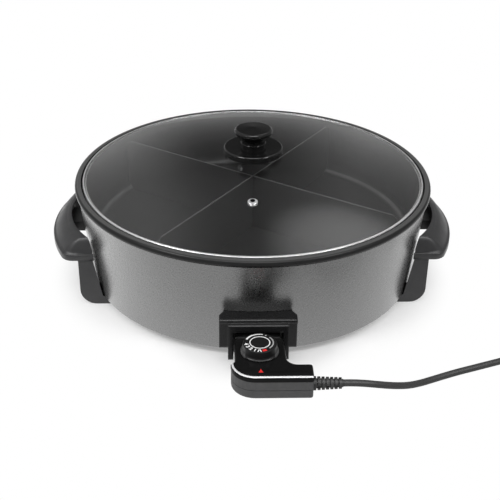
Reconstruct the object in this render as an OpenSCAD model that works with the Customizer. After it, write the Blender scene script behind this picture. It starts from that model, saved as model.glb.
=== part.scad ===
// Round electric grill pan with a lift-off glass lid, a cross divider, hooded side handles
// on legs, and a plug-in thermostat control with its mains lead.
// Millimetres, +Z up, table at z = 0, control towards -Y.

/* [Pan] */
// Diameter over the rolled rim
rim_d = 412; // [380:2:440]
// Height of the rim above the table
rim_z = 126; // [120:1:140]
// Depth from the rim to the cooking floor
pan_depth = 70; // [60:1:74]
// Sheet thickness of the pan
pan_t = 2.5; // [1.5:0.1:3]
// Diameter of the bead rolled round the rim
bead_d = 8; // [7:0.5:10]
// Flat of the rim inside the crown of the bead
rim_flat = 3; // [2:0.5:4]
// Depth of the ledge that carries the lid
ledge_depth = 6; // [5:0.5:8]
// Width of that ledge
ledge_w = 4; // [3:0.5:6]
// How far the pan wall leans in from ledge to floor
pan_taper = 7; // [4:1:10]
// Fillet between floor and wall
floor_fillet = 14; // [8:1:20]

/* [Jacket and base] */
// Height of the jacket's lower edge above the table
base_z = 10; // [9:0.5:14]
// Sheet thickness of the jacket
jacket_t = 1.2; // [0.8:0.1:1.6]
// How far the jacket's top stands out from the centre of the bead
jacket_lap = 1.2; // [0.8:0.1:2]
// How far the jacket leans in down to its lower edge
jacket_taper = 12.7; // [8:0.1:16]
// Width of the flange turned in at the jacket's lower edge
flange_w = 14; // [12:0.5:18]
// Sheet thickness of the base plate
plate_t = 1; // [0.8:0.1:1.6]
// Height of the dished middle of the base plate
plate_dish = 4; // [2:0.5:6]

/* [Heating] */
// Radius of the ring of the heating element
ring_r = 115; // [95:1:130]
// Diameter of the element's tube
tube_d = 8; // [6:0.5:9]
// Bend radius where the ring turns to the terminals
elbow_r = 16; // [14:1:24]
// Thickness of the heat spreader
spreader_t = 4; // [3:0.5:6]
// Radius of the heat spreader
spreader_r = 150; // [140:1:165]
// Diameter of a terminal pin
pin_d = 6; // [4:0.2:6.4]
// Diameter of the temperature probe
probe_d = 8; // [6:0.2:9]
// How far the probe reaches in from the front of the control's nose
probe_len = 78; // [70:1:90]

/* [Divider] */
// Thickness of a divider plate
divider_t = 1.6; // [1:0.1:3]
// Distance of the plates' top edge below the rim
divider_drop = 5; // [4:0.5:12]
// Gap between the ends of the plates and the pan wall at the floor
divider_gap = 1.5; // [1:0.1:4]
// Direction of the long plate in plan
divider_angle = -34; // [-60:1:60]

/* [Lid] */
// Rise of the glass dome above the rim
dome_rise = 27; // [18:1:32]
// Thickness of the glass
glass_t = 4; // [3:0.2:5]
// Gap between the lid's steel band and the mouth of the pan
lid_gap = 2; // [1:0.2:2.6]
// Sheet thickness of the steel band
band_t = 0.8; // [0.5:0.1:1]
// How far the band reaches under the glass
band_reach = 4; // [3:0.2:5]
// Width of the band's lip on top of the glass
band_lip = 1; // [0.6:0.1:2]
// Distance of the vent from the middle of the lid
vent_r = 110; // [80:1:150]
// Direction of the vent, from the side of the control
vent_turn = -2; // [-90:1:90]
// Diameter of the vent's flange
vent_d = 11; // [9:0.5:14]
// Diameter of the vent's hole
vent_hole_d = 5; // [3:0.2:6]
// Diameter of the disc under the knob
disc_d = 68; // [56:1:80]
// Thickness of that disc
disc_t = 7.5; // [5:0.5:9]
// Widest diameter of the knob
knob_d = 44; // [40:1:52]
// Height of the knob above the disc
knob_h = 24; // [21:0.5:30]
// Diameter of the knob's neck
neck_d = 28; // [24:1:30]

/* [Handles] */
// Reach of the lip beyond the jacket's lower edge
handle_reach = 44.5; // [40:0.5:55]
// Radius of the lip in plan
lip_R = 175; // [160:1:190]
// Half the length of the lip
lip_half = 84.5; // [82:0.5:92]
// Height of the lip's lower edge above the table
lip_z = 57; // [54:1:62]
// Depth of the lip's edge
lip_t = 8.5; // [6:0.5:10]
// Height of the hood's crest above the table
crest_z = 83; // [80:1:90]
// Reach of the crest's inner edge beyond the jacket's lower edge
crest_reach = 22.5; // [20:0.5:26]
// Width of the crest
crest_w = 4; // [3:0.5:5]
// Half the length of the crest
crest_half = 77; // [70:1:80]
// Wall thickness of the hood
hood_t = 3; // [2.5:0.1:4]
// Gap between the legs and the jacket under the lip
leg_gap = 4.2; // [4:0.1:7]
// Gap between the legs and the jacket at the feet
foot_gap = 1.6; // [1:0.1:4]
// Reach of a leg's outer side beyond the jacket's lower edge
leg_reach = 8; // [6:0.5:11]
// Distance of a leg's inner side from the handle's middle
leg_y0 = 56; // [50:1:60]
// Distance of a leg's outer side from the handle's middle
leg_y1 = 83; // [80:0.5:84]
// Radius of the foot's outer corner
foot_round = 18; // [8:1:20]
// Reach of the foot's tongue beyond the axis of its screw
tongue_reach = 7.3; // [6:0.1:12]
// Half the width of the block that bolts the handle to the jacket
block_half = 18; // [16:1:30]
// Height of that block
block_h = 12; // [11:0.5:14]
// Diameter of the handle and foot screws
screw_d = 4; // [3:0.5:5]

/* [Socket guard] */
// Width of the guard
guard_w = 80; // [78:1:90]
// Height of the guard's top above the terminals' axis
guard_top = 27.5; // [26:0.5:32]
// Depth of the inner cheeks' lower edge below the terminals' axis
guard_bottom = 15; // [13:0.5:19]
// Depth of the outer cheeks' lower edge below the terminals' axis
cheek_low = 10; // [6:0.5:12]
// Reach of the outer cheeks' front beyond the jacket's lower edge
cheek_y = 19; // [18.5:0.5:20.5]
// Reach of the inner frame's front beyond the jacket's lower edge, at its foot
frame_y = 33.5; // [31.5:0.5:35.5]
// How far the inner frame's front leans back up to its top
frame_lean = 6.5; // [4:0.5:8]
// Height of the inner frame's top above the terminals' axis
frame_top = 24; // [23:0.5:25]
// Reach of the guard's back panel beyond the jacket's lower edge
panel_y = 17.5; // [15.5:0.5:18.5]
// Thickness of an inner cheek
cheek_t = 5.5; // [4:0.5:7]
// Height of the visor over the socket
visor_t = 4.5; // [4:0.5:6]
// Reach of the visor's front beyond the jacket's lower edge
visor_y = 22; // [20.5:0.5:24.5]

/* [Control] */
// Depth of the shells' joint, and of the terminals' axis, below the heat spreader
seam_z = 15.5; // [13:0.5:17]
// Depth of the control's underside below that joint
ctl_bottom = 10; // [9:0.5:11.5]
// Height of the joint between shell and cover above that joint
cover_z = 10; // [9:0.5:12]
// Height of the cover's top above that joint
ctl_top = 15.5; // [14.5:0.5:18]
// Width of the control's stem
stem_w = 50; // [48:0.5:50]
// Distance of the control's back from the guard's panel
ctl_back = 17; // [16.5:0.5:19]
// Distance of the control's front from its back
ctl_front = 68; // [63:1:75]
// Reach of the arm that the lead leaves from
arm_x = 51; // [48:1:60]
// Distance of the arm's back edge from the control's back
arm_y = 45; // [41:1:48]
// Reach of the rounded nose on the other side
bulge_x = 29; // [27:0.5:32]
// Radius of that rounded corner
nose_r = 24; // [16:1:26]
// Fillet between stem and arm
shoulder_r = 11; // [8:1:13]
// Rounding of the cover's top edge
cover_round = 2.8; // [1:0.2:3]
// Wall thickness of the control's shells
shell_t = 2.2; // [1.6:0.1:2.6]
// Distance of the dial's axis from the control's back
dial_y = 25; // [24:0.5:31]
// Diameter of the dial's top
dial_d = 34; // [30:1:36]
// Diameter of the dial's flange
dial_flange_d = 38; // [36:0.5:40]
// Height of the dial
dial_h = 10.5; // [10:0.5:16]
// Diameter of the dial's spindle
spindle_d = 6; // [5:0.2:7]

/* [Lead] */
// Diameter of the mains lead
cord_d = 7; // [6:0.1:7]
// Length of the strain relief
relief_len = 29; // [24:1:34]
// Diameter of the strain relief at the control
relief_d0 = 14; // [12:0.5:15]
// Diameter of the strain relief at the lead
relief_d1 = 11; // [9:0.5:12]
// Number of ribs on the strain relief
relief_ribs = 7; // [5:1:8]
// Diameter of the plug's face
plug_d = 38; // [36:0.5:40]
// Length of the plug's body
plug_len = 34; // [30:1:40]

/* [Hidden] */

$fn = 96;
// Number of steps in a drawn arc
arc_n = 8;
// Overlap that lets a cut run past a face
eps = 1;
// Running clearance of the spindle in its bore, on the radius
run_clear = 0.08;
// Hair of room between pieces that stay together, on each side
hair = 0.05;
// Clearance between pieces that come apart
part_clear = 0.3;
// Clearance of screws in their holes, on the radius
hole_clear = 0.2;

rim_r = rim_d / 2;
bead_r = bead_d / 2;
bead_c = rim_r - bead_r;
mouth_r = bead_c - rim_flat;
ledge_in = mouth_r - ledge_w;
floor_r = ledge_in - pan_taper;
floor_z = rim_z - pan_depth;
under_z = floor_z - pan_t;
ledge_z = rim_z - ledge_depth;
rim_low_z = rim_z - max(bead_d, ledge_depth + pan_t);

jacket_top_z = rim_low_z;
jacket_top_r = bead_c + jacket_lap;
jacket_base_r = jacket_top_r - jacket_taper;
// Step between the pan's mouth and the jacket's seat, gap round the base plate, gap over the element
seat_step = 0.5;
plate_gap = 1.5;
ring_gap = 0.5;
seat_r = mouth_r + seat_step;
plate_z = base_z + jacket_t;
plate_r = jacket_base_r - jacket_t - plate_gap;

spreader_z = under_z - spreader_t;
pin_z = spreader_z - seam_z;

// Handles and guard follow the jacket's lower edge, and the control follows the guard
lip_x = jacket_base_r + handle_reach;
crest_x = jacket_base_r + crest_reach;
leg_x = jacket_base_r + leg_reach;
cheek_at = jacket_base_r + cheek_y;
visor_at = jacket_base_r + visor_y;
frame_at = jacket_base_r + frame_y;
panel_at = jacket_base_r + panel_y;
back_at = panel_at + ctl_back;
front_at = back_at + ctl_front;
arm_at = back_at + arm_y;
dial_at = back_at + dial_y;

// Heights about the terminals' axis
guard_top_z = pin_z + guard_top;
guard_low_z = pin_z - guard_bottom;
cheek_low_z = pin_z - cheek_low;
frame_top_z = pin_z + frame_top;
ctl_low_z = pin_z - ctl_bottom;
cover_low_z = pin_z + cover_z;
ctl_top_z = pin_z + ctl_top;

ring_z = spreader_z - tube_d / 2 - ring_gap;
// Wall of the nose outside the contacts, and the step from the stem to the nose
contact_wall = 0.4;
nose_step = 2.5;
nose_half = stem_w / 2 - nose_step;
contact_t = 1.6;
contact_r = pin_d / 2 + contact_t;
pin_x = nose_half - contact_r - contact_wall;
elbow_a = asin((pin_x + elbow_r) / (ring_r + elbow_r));
elbow_y = (ring_r + elbow_r) * cos(elbow_a);
// Length of a terminal bush, its wall, how far the tube reaches into it, and the pin's way into the control
bush_len = 30;
bush_wall = 3;
tube_in = 2;
pin_out = 22;
lead_end_y = panel_at - bush_len - tube_in;
pin_tip_y = panel_at + pin_out;
bush_r = pin_d / 2 + bush_wall;

// The whole object is centred on the origin in plan, so the pan's axis lies behind it
pan_y = (front_at - rim_r) / 2;

glass_r = mouth_r - lid_gap - band_t;
band_r = mouth_r - lid_gap;
glass_drop = 0.5;
glass_edge_z = rim_z - glass_drop;
dome_top_z = rim_z + dome_rise;
dome_h = dome_top_z - glass_edge_z;
dome_R = (glass_r * glass_r + dome_h * dome_h) / (2 * dome_h);
dome_c = dome_top_z - dome_R;
vent_tilt = asin(vent_r / dome_R);
// Width of the vent's flange, and its thickness
vent_lip = 1.5;
vent_t = 1;
function glass_top(r) = dome_c + sqrt(dome_R * dome_R - r * r);
function glass_under(r) = dome_c + sqrt(pow(dome_R - glass_t, 2) - r * r);
knob_z = dome_top_z + disc_t;
knob_bore_r = 2.7;
// Cover over the screw in the knob, rounding of the disc's edge, flat under the disc, hub on it
knob_cap = 9;
disc_edge = 1.8;
disc_flat = 12;
disc_drop = dome_top_z - glass_top(disc_d / 2) - 2 * part_clear;
hub_h = 4.5;
hub_in = 0.6;
// Bead round the foot of the knob's neck, height of the neck, rounding of the rim, rise of the crown
neck_bead = 0.5;
neck_h = 3.5;
knob_round = 3.2;
crown = 2;
// Head of the knob's screw, and the washer under it
knob_head_r = 5;
knob_head_h = 3;
washer_r = 10;
washer_t = 1.1;
washer_z = dome_top_z - glass_t - washer_t - part_clear;

lip_c = lip_x - lip_R;
lip_top = lip_z + lip_t;
crest_R = crest_x - lip_c;
// Inner side of the hood: from the crest's middle to the legs' gap at its ends
hood_end_x = sqrt(pow(jacket_r(lip_top) + leg_gap, 2) - crest_half * crest_half);
hood_sag = crest_x - hood_end_x;
hood_in_R = (crest_half * crest_half + hood_sag * hood_sag) / (2 * hood_sag);
// How far the hood and the guard are drawn into the jacket before they are cut back to it
hood_in = 10;
guard_in = 14;
hood_back = jacket_base_r - hood_in;
lip_corner = 14;
lip_round = 1.6;
crest_corner = 5;
skirt_n = 8;
cavity_half = leg_y0;
foot_screw_r = jacket_base_r - flange_w / 2;
foot_screw_a = asin((leg_y0 + leg_y1) / 2 / foot_screw_r);
foot_in = foot_screw_r * cos(foot_screw_a) - tongue_reach;
// How far the bolt block stands above the lip
block_lift = 7;
block_top = lip_top + block_lift;
handle_screw_a = 3;
handle_screw_z = block_top - block_h / 2;
cheek_gap = stem_w + 1;
guard_screw_z = pin_z + pin_d + 2.5 * screw_d;
guard_screw_a = asin((cheek_gap / 2 + screw_d) / jacket_r(guard_screw_z));
guard_back = jacket_base_r - guard_in;
foot_corner = 4;
top_corner = 2;
socket_top = ctl_top_z + 1;
// Corner of the guard's plan, measured back from its front, in both directions round it
guard_cut = 4.5;
guard_side = [[guard_w / 2 - guard_cut, visor_at - guard_back], [guard_w / 2 - guard_cut, 3.2 * guard_cut],
              [guard_w / 2, 1.5 * guard_cut], [guard_w / 2, 0]];
guard_side_back = [for (i = [3:-1:0]) guard_side[i]];
wall_screw_len = 2 * screw_d;
screw_head_h = 2.5;
nut_h = 3.2;
// Room behind a wall screw's flat head, which meets a leaning wall
head_gap = part_clear + screw_d * jacket_taper / (jacket_top_z - base_z);

nose_back = panel_at + part_clear;
// How far the nose stays below the cover and above the underside
nose_in = 2;
nose_low = ctl_low_z + nose_in;
nose_high = cover_low_z - nose_in;
contact_len = 24;
dial_z = ctl_top_z + part_clear;
dial_top = dial_z + dial_h;
relief_z = pin_z;
relief_y = (arm_at + front_at) / 2;

plug_axis_z = plug_d / 2;
plug_pin_d = 4.8;
plug_pin_len = 19;
plug_pin_gap = 19;
// Neck of the plug, slope up to its body, edge of its face, grip flats
plug_neck_r = 5;
plug_neck_len = 14;
plug_slope = 12;
plug_edge = 1;
plug_grip = [5, 7, 30];
plug_face_z = plug_len + plug_neck_len - plug_edge;

function jacket_r(z) = jacket_base_r
    + (jacket_top_r - jacket_base_r) * (z - base_z) / (jacket_top_z - base_z);

function arc(c, r, a0, a1, n = arc_n) =
    [for (i = [0:n]) c + r * [cos(a0 + (a1 - a0) * i / n), sin(a0 + (a1 - a0) * i / n)]];

// Half section of a bowl: flat floor, fillet, leaning wall
function bowl(r_top, z_top, r_floor, z_floor, f) =
    let (a = atan2(z_top - z_floor, r_top - r_floor))
    concat([[0, z_floor]], arc([r_floor - f * tan(a / 2), z_floor + f], f, -90, a - 90),
           [[r_top, z_top], [0, z_top]]);

function unit(v) = v / norm(v);
function outward(p, i) =
    let (n = len(p), d1 = unit(p[i] - p[(i + n - 1) % n]), d2 = unit(p[(i + 1) % n] - p[i]),
         n1 = [d1.y, -d1.x], n2 = [d2.y, -d2.x])
    (n1 + n2) / (1 + n1 * n2);
// An outline drawn in by the distance d
function inset(p, d) = [for (i = [0:len(p) - 1]) p[i] - d * outward(p, i)];
function lift(p, z) = [for (q = p) [q.x, q.y, z]];

function middle(p) = [for (q = p) 1] * p / len(p);

// Skin over rings of points, one ring above the other; each end is a fan about a hub inside its ring
module skin(rings, hubs = undef) {
    n = len(rings[0]);
    m = len(rings);
    ends = is_undef(hubs) ? [middle(rings[0]), middle(rings[m - 1])] : hubs;
    sides = [for (j = [0:m - 2]) for (i = [0:n - 1])
        each [[j * n + i, (j + 1) * n + i, (j + 1) * n + (i + 1) % n],
              [j * n + i, (j + 1) * n + (i + 1) % n, j * n + (i + 1) % n]]];
    low = [for (i = [0:n - 1]) [m * n, i, (i + 1) % n]];
    high = [for (i = [0:n - 1]) [m * n + 1, (m - 1) * n + (i + 1) % n, (m - 1) * n + i]];
    polyhedron(concat([for (r = rings) each r], ends), concat(sides, low, high), convexity = 6);
}

// Prism over an outline with a rounded top edge
module rounded_top(p, hub, z0, z1, r, n = 4)
    skin(concat([lift(p, z0)],
                [for (i = [0:n]) lift(inset(p, r * (1 - cos(90 * i / n))), z1 - r + r * sin(90 * i / n))]),
         [[hub.x, hub.y, z0], [hub.x, hub.y, z1]]);

module at_pan() translate([0, pan_y, 0]) children();
module along_front(y, z) translate([0, -y, z]) rotate([90, 0, 0]) children();
module each_foot() for (sx = [0, 1], sy = [-1, 1])
    mirror([sx, 0, 0]) rotate(sy * foot_screw_a) translate([foot_screw_r, 0, 0]) children();
module each_pin() for (s = [-1, 1]) translate([s * pin_x, 0, 0]) children();

module pan_section() {
    difference() {
        union() {
            polygon(bowl(ledge_in + pan_t, ledge_z, floor_r + pan_t, under_z, floor_fillet + pan_t));
            translate([ledge_in, ledge_z - pan_t]) square([mouth_r - ledge_in + eps, pan_t]);
            translate([mouth_r, rim_low_z]) square([rim_flat, rim_z - rim_low_z]);
            translate([bead_c, rim_z - bead_r]) circle(bead_r);
        }
        polygon(bowl(ledge_in, ledge_z, floor_r, floor_z, floor_fillet));
        translate([0, ledge_z]) square([mouth_r, ledge_depth + eps]);
    }
}

module pan() color("#2b2b2c") at_pan() rotate_extrude() pan_section();

module jacket_section()
    polygon([[jacket_base_r - flange_w, base_z], [jacket_base_r, base_z],
             [jacket_top_r, jacket_top_z], [seat_r, jacket_top_z], [seat_r, jacket_top_z - jacket_t],
             [jacket_r(jacket_top_z - jacket_t) - jacket_t, jacket_top_z - jacket_t],
             [jacket_r(plate_z) - jacket_t, plate_z], [jacket_base_r - flange_w, plate_z]]);

module outer_jacket() color("#8d8d8c") at_pan()
    difference() {
        rotate_extrude() jacket_section();
        along_front(panel_at, pin_z) {
            each_pin() translate([0, 0, -3 * flange_w]) cylinder(r = bush_r + hole_clear, h = 3 * flange_w);
            translate([0, 0, -3 * flange_w]) cylinder(d = probe_d + 2, h = 3 * flange_w);
        }
        each_foot() translate([0, 0, base_z - eps]) cylinder(d = screw_d + 2 * hole_clear, h = jacket_t + 2 * eps);
        each_handle_screw() cylinder(d = screw_d + 2 * hole_clear, h = 2 * wall_screw_len, center = true);
        each_guard_screw() cylinder(d = screw_d + 2 * hole_clear, h = 2 * wall_screw_len, center = true);
    }

module base_plate() color("#a8a8a8") at_pan()
    difference() {
        rotate_extrude()
            polygon([[0, plate_z + plate_dish], [plate_r - 3 * flange_w, plate_z + plate_dish],
                     [plate_r - 2.5 * flange_w, plate_z], [plate_r, plate_z], [plate_r, plate_z + plate_t],
                     [plate_r - 2.5 * flange_w + plate_t, plate_z + plate_t],
                     [plate_r - 3 * flange_w + plate_t, plate_z + plate_dish + plate_t],
                     [0, plate_z + plate_dish + plate_t]]);
        each_foot() translate([0, 0, plate_z - eps]) cylinder(d = screw_d + 2 * hole_clear, h = plate_t + 2 * eps);
    }

module heat_spreader() color("#c0c2c4") at_pan()
    translate([0, 0, spreader_z]) cylinder(r = spreader_r, h = spreader_t);

// The joints in the tube are covered by a bead
module heating_element() color("#5a5a58") at_pan() {
    bead = 0.8;
    rotate(elbow_a - 90) translate([0, 0, ring_z])
        rotate_extrude(angle = 360 - 2 * elbow_a) translate([ring_r, 0]) circle(d = tube_d);
    for (s = [0, 1]) mirror([s, 0, 0]) {
        translate([pin_x + elbow_r, -elbow_y, ring_z]) rotate(90 + elbow_a)
            rotate_extrude(angle = 90 - elbow_a) translate([elbow_r, 0]) circle(d = tube_d);
        drop = ring_z - pin_z;
        run = lead_end_y - elbow_y;
        translate([pin_x, -elbow_y, ring_z]) rotate([90 + atan2(drop, run), 0, 0])
            cylinder(d = tube_d, h = norm([drop, run]));
        translate([pin_x, -elbow_y, ring_z]) sphere(d = tube_d + bead);
        rotate(elbow_a) translate([0, -ring_r, ring_z]) sphere(d = tube_d + bead);
    }
}

module terminal_pins() color("#c9c9c6") at_pan() each_pin() {
    along_front(lead_end_y - tube_d / 4, pin_z)
        cylinder(d = pin_d, h = pin_tip_y - lead_end_y + tube_d / 4 - pin_d / 2);
    translate([0, -pin_tip_y + pin_d / 2, pin_z]) sphere(d = pin_d);
}

module terminal_bushes() color("#efe9df") at_pan() each_pin()
    along_front(lead_end_y + tube_in, pin_z) difference() {
        cylinder(r = bush_r, h = bush_len);
        translate([0, 0, -eps]) cylinder(d = pin_d + 2 * hair, h = bush_len + 2 * eps);
    }

probe_tip_y = nose_back - probe_len;
// Walls of the probe's block beside, below and behind the probe, and its length
probe_side = 4.5;
probe_under = 4;
probe_behind = 6;
probe_grip = 30;
module probe_block() color("#b9bbbd") at_pan() difference() {
    translate([-probe_d / 2 - probe_side, -probe_tip_y - probe_grip, pin_z - probe_d / 2 - probe_under])
        cube([probe_d + 2 * probe_side, probe_grip + probe_behind, spreader_z - pin_z + probe_d / 2 + probe_under]);
    along_front(probe_tip_y - part_clear, pin_z) cylinder(d = probe_d + 2 * part_clear, h = probe_grip + 2 * eps);
}

// Outline of the guard in plan, with its corners cut back to the jacket
module guard_plan(front)
    polygon([for (s = [-1, 1]) each [for (p = s < 0 ? guard_side : guard_side_back) [s * p.x, p.y - front]]]);

// Side view of a cheek or frame: front edge rounded at foot and top, back edge inside the jacket
module cheek_side(front, lean, low, high)
    hull() {
        translate([front - foot_corner, low + foot_corner]) circle(foot_corner, $fn = 32);
        translate([front - lean - top_corner, high - top_corner]) circle(top_corner, $fn = 32);
        translate([guard_back, low]) square([eps, high - low]);
    }

module across(w) translate([w / 2, 0, 0]) rotate([90, 0, -90]) linear_extrude(w) children();

module socket_guard() color("#232324") at_pan()
    difference() {
        union() {
            intersection() {
                translate([0, 0, cheek_low_z]) linear_extrude(guard_top_z - cheek_low_z) guard_plan(cheek_at);
                across(guard_w) cheek_side(cheek_at, 0, cheek_low_z, guard_top_z);
            }
            across(cheek_gap + 2 * cheek_t) cheek_side(frame_at, frame_lean, guard_low_z, frame_top_z);
            intersection() {
                translate([0, 0, guard_top_z - visor_t]) linear_extrude(visor_t) guard_plan(visor_at);
                across(guard_w) cheek_side(visor_at, 0, cheek_low_z, guard_top_z);
            }
        }
        translate([-cheek_gap / 2, -frame_at - eps, guard_low_z - eps])
            cube([cheek_gap, frame_at - panel_at + eps, socket_top - guard_low_z + eps]);
        translate([0, 0, base_z]) rotate_extrude() polygon(jacket_cut);
        along_front(panel_at + eps, pin_z) {
            each_pin() translate([0, 0, -guard_w / 2]) cylinder(r = bush_r + hole_clear, h = guard_w / 2);
            translate([0, 0, -guard_w / 2]) cylinder(d = probe_d + 2, h = guard_w / 2);
        }
        each_guard_screw() cylinder(d = screw_d + 2 * hole_clear, h = 2 * wall_screw_len + 2, center = true);
    }

// Space taken by the jacket, with a hair of clearance, measured up from its lower edge
jacket_cut = [[0, 0], [jacket_base_r + hair, 0], [jacket_top_r + hair, jacket_top_z - base_z],
              [0, jacket_top_z - base_z]];

module each_guard_screw() for (s = [-1, 1])
    rotate(s * guard_screw_a - 90) translate([jacket_r(guard_screw_z), 0, guard_screw_z])
        rotate([0, 90, 0]) children();

// Screw driven outwards through the jacket, its head inside
module wall_screw() {
    translate([0, 0, -jacket_t - head_gap]) cylinder(d = screw_d, h = jacket_t + head_gap + wall_screw_len);
    translate([0, 0, -jacket_t - head_gap - screw_head_h]) cylinder(d = 2 * screw_d, h = screw_head_h);
}

module guard_screws() color("#b5b5b2") at_pan() each_guard_screw() wall_screw();

// Outline of the hood in plan: an arc about the centre [c, 0] with rounded ends
function hood_plan(c, r, half, corner) =
    let (x = c + sqrt(pow(r - corner, 2) - pow(half - corner, 2)), a = atan2(half - corner, x - c),
         b = a * (1 - 1 / arc_n))
    concat([[hood_back, -half]], arc([x, corner - half], corner, -90, -a, 5), arc([c, 0], r, -b, b, 3 * arc_n),
           arc([x, half - corner], corner, a, 90, 5), [[hood_back, half]]);

lip_plan = hood_plan(lip_c, lip_R, lip_half, lip_corner);
crest_plan = hood_plan(lip_c, crest_R + crest_w, crest_half, crest_corner);
function hood_ring(t, d) = inset((1 - t) * lip_plan + t * crest_plan, d);
skirt_turn = 76;
function skirt_z(t) = lip_top + (crest_z - 1 - lip_top) * sin(skirt_turn * t) / sin(skirt_turn);

// Lip, bulging skirt and crest of a handle, as rings one above the other
module hood_form()
    skin(concat([lift(hood_ring(0, 1), lip_z), lift(hood_ring(0, 0), lip_z + 1), lift(hood_ring(0, 0), lip_top - lip_round)],
                [for (a = [30, 60, 90]) lift(hood_ring(0, lip_round * (1 - cos(a))), lip_top - lip_round * (1 - sin(a)))],
                [for (k = [1:skirt_n]) lift(hood_ring(k / skirt_n, lip_round * (1 - k / skirt_n)), skirt_z(k / skirt_n))],
                [lift(hood_ring(1, 1), crest_z)]));

// Room for the fingers under the hood
module hood_cavity()
    intersection() {
        translate([lip_c, 0, 0]) rotate_extrude()
            polygon([[crest_R + hood_t, lip_z - eps], [lip_R - hood_t - 1, lip_z - eps], [lip_R - hood_t - 1, lip_top],
                     [crest_R + hood_t, crest_z - 2 * hood_t]]);
        translate([0, -cavity_half, lip_z - eps]) cube([lip_x, 2 * cavity_half, crest_z - lip_z]);
    }

// A leg is a straight bar with a foot, cut back to follow the jacket
module leg()
    difference() {
        translate([0, -leg_y0, 0]) rotate([90, 0, 0]) linear_extrude(leg_y1 - leg_y0)
            polygon(concat([[foot_in, lip_top - 1], [foot_in, 0]],
                           arc([leg_x - foot_round, foot_round], foot_round, -90, 0), [[leg_x, lip_top - 1]]));
        rotate_extrude() polygon([[0, base_z], [jacket_base_r + foot_gap, base_z],
                                  [jacket_r(lip_top) + leg_gap, lip_top], [0, lip_top]]);
    }

module each_handle_screw() for (sx = [0, 1], sy = [-1, 1]) mirror([sx, 0, 0])
    rotate(sy * handle_screw_a) translate([jacket_r(handle_screw_z), 0, handle_screw_z])
        rotate([0, 90, 0]) children();

// Block between jacket and hood that takes the handle's screws
module bolt_block()
    difference() {
        intersection() {
            translate([0, -block_half, block_top - block_h]) cube([lip_x, 2 * block_half, block_h]);
            translate([lip_c, 0, block_top - block_h]) cylinder(r = crest_R + hood_t / 2, h = block_h);
        }
        translate([0, 0, base_z]) rotate_extrude() polygon(jacket_cut);
    }

module handle()
    difference() {
        union() {
            difference() {
                hood_form();
                hood_cavity();
                translate([crest_x - hood_in_R, 0, lip_z - eps]) cylinder(r = hood_in_R, h = crest_z);
            }
            leg();
            mirror([0, 1, 0]) leg();
            bolt_block();
        }
        each_foot() {
            translate([0, 0, -eps]) cylinder(d = screw_d + 2 * hole_clear, h = base_z + 2 * eps);
            translate([0, 0, -eps]) cylinder(d = 2 * screw_d + 2 * hole_clear, h = base_z / 2 + eps);
        }
        each_handle_screw() cylinder(d = screw_d + 2 * hole_clear, h = 2 * wall_screw_len + 1, center = true);
    }

module right_handle() color("#333334") at_pan() handle();
module left_handle() color("#333334") at_pan() mirror([1, 0, 0]) handle();

module handle_screws() color("#b5b5b2") at_pan() each_handle_screw() wall_screw();

module foot_screws() color("#b5b5b2") at_pan() each_foot() {
    translate([0, 0, base_z / 2 - screw_head_h]) cylinder(d = 2 * screw_d, h = screw_head_h);
    translate([0, 0, base_z / 2]) cylinder(d = screw_d, h = base_z / 2 + jacket_t + plate_t + screw_d);
}

module foot_nuts() color("#b5b5b2") at_pan() each_foot()
    translate([0, 0, plate_z + plate_t]) difference() {
        cylinder(d = 2 * screw_d, h = nut_h, $fn = 6);
        translate([0, 0, -eps]) cylinder(d = screw_d + 2 * hole_clear, h = nut_h + 2 * eps);
    }

divider_top = rim_z - divider_drop;
divider_half = floor_r - divider_gap;
divider_corner = 10;

// Side view of a divider plate: round top corners, lower corners cut to the pan's fillet
module divider_side() {
    h = divider_top - floor_z;
    difference() {
        hull() for (s = [-1, 1]) {
            translate([s * (divider_half - floor_fillet), 0]) square([0.1, h], center = false);
            translate([s * (divider_half - divider_corner), h - divider_corner]) circle(divider_corner, $fn = 32);
            translate([s * (divider_half - floor_fillet), floor_fillet]) circle(floor_fillet, $fn = 48);
        }
        translate([-divider_half, -h]) square([2 * divider_half, h]);
    }
}

module divider_plate(slot_z) {
    h = divider_top - floor_z;
    rotate([90, 0, 0]) translate([0, 0, -divider_t / 2]) linear_extrude(divider_t) difference() {
        divider_side();
        translate([-divider_t / 2 - hole_clear / 2, slot_z - eps])
            square([divider_t + hole_clear, h / 2 + eps + (slot_z > 0 ? eps : 0)]);
    }
}

module divider_long() color("#3a3a3b") at_pan() translate([0, 0, floor_z]) rotate(divider_angle)
    divider_plate((divider_top - floor_z) / 2 + eps);
module divider_cross() color("#3a3a3b") at_pan() translate([0, 0, floor_z]) rotate(divider_angle + 90)
    divider_plate(0);

module glass_section()
    intersection() {
        translate([0, dome_c]) difference() {
            circle(dome_R, $fn = 720);
            circle(dome_R - glass_t, $fn = 720);
        }
        translate([0, dome_c]) square([glass_r, dome_R + eps]);
    }

module at_vent() translate([0, 0, dome_c]) rotate(vent_turn) rotate([vent_tilt, 0, 0])
    translate([0, 0, dome_R]) children();

module lid_glass() color([0.35, 0.37, 0.38, 0.5]) at_pan() difference() {
    rotate_extrude() glass_section();
    translate([0, 0, dome_top_z - 2 * glass_t]) cylinder(r = knob_bore_r + 2 * hole_clear, h = 3 * glass_t);
    at_vent() translate([0, 0, -2 * glass_t]) cylinder(r = vent_d / 2 - vent_lip + hole_clear, h = 3 * glass_t);
}

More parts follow.
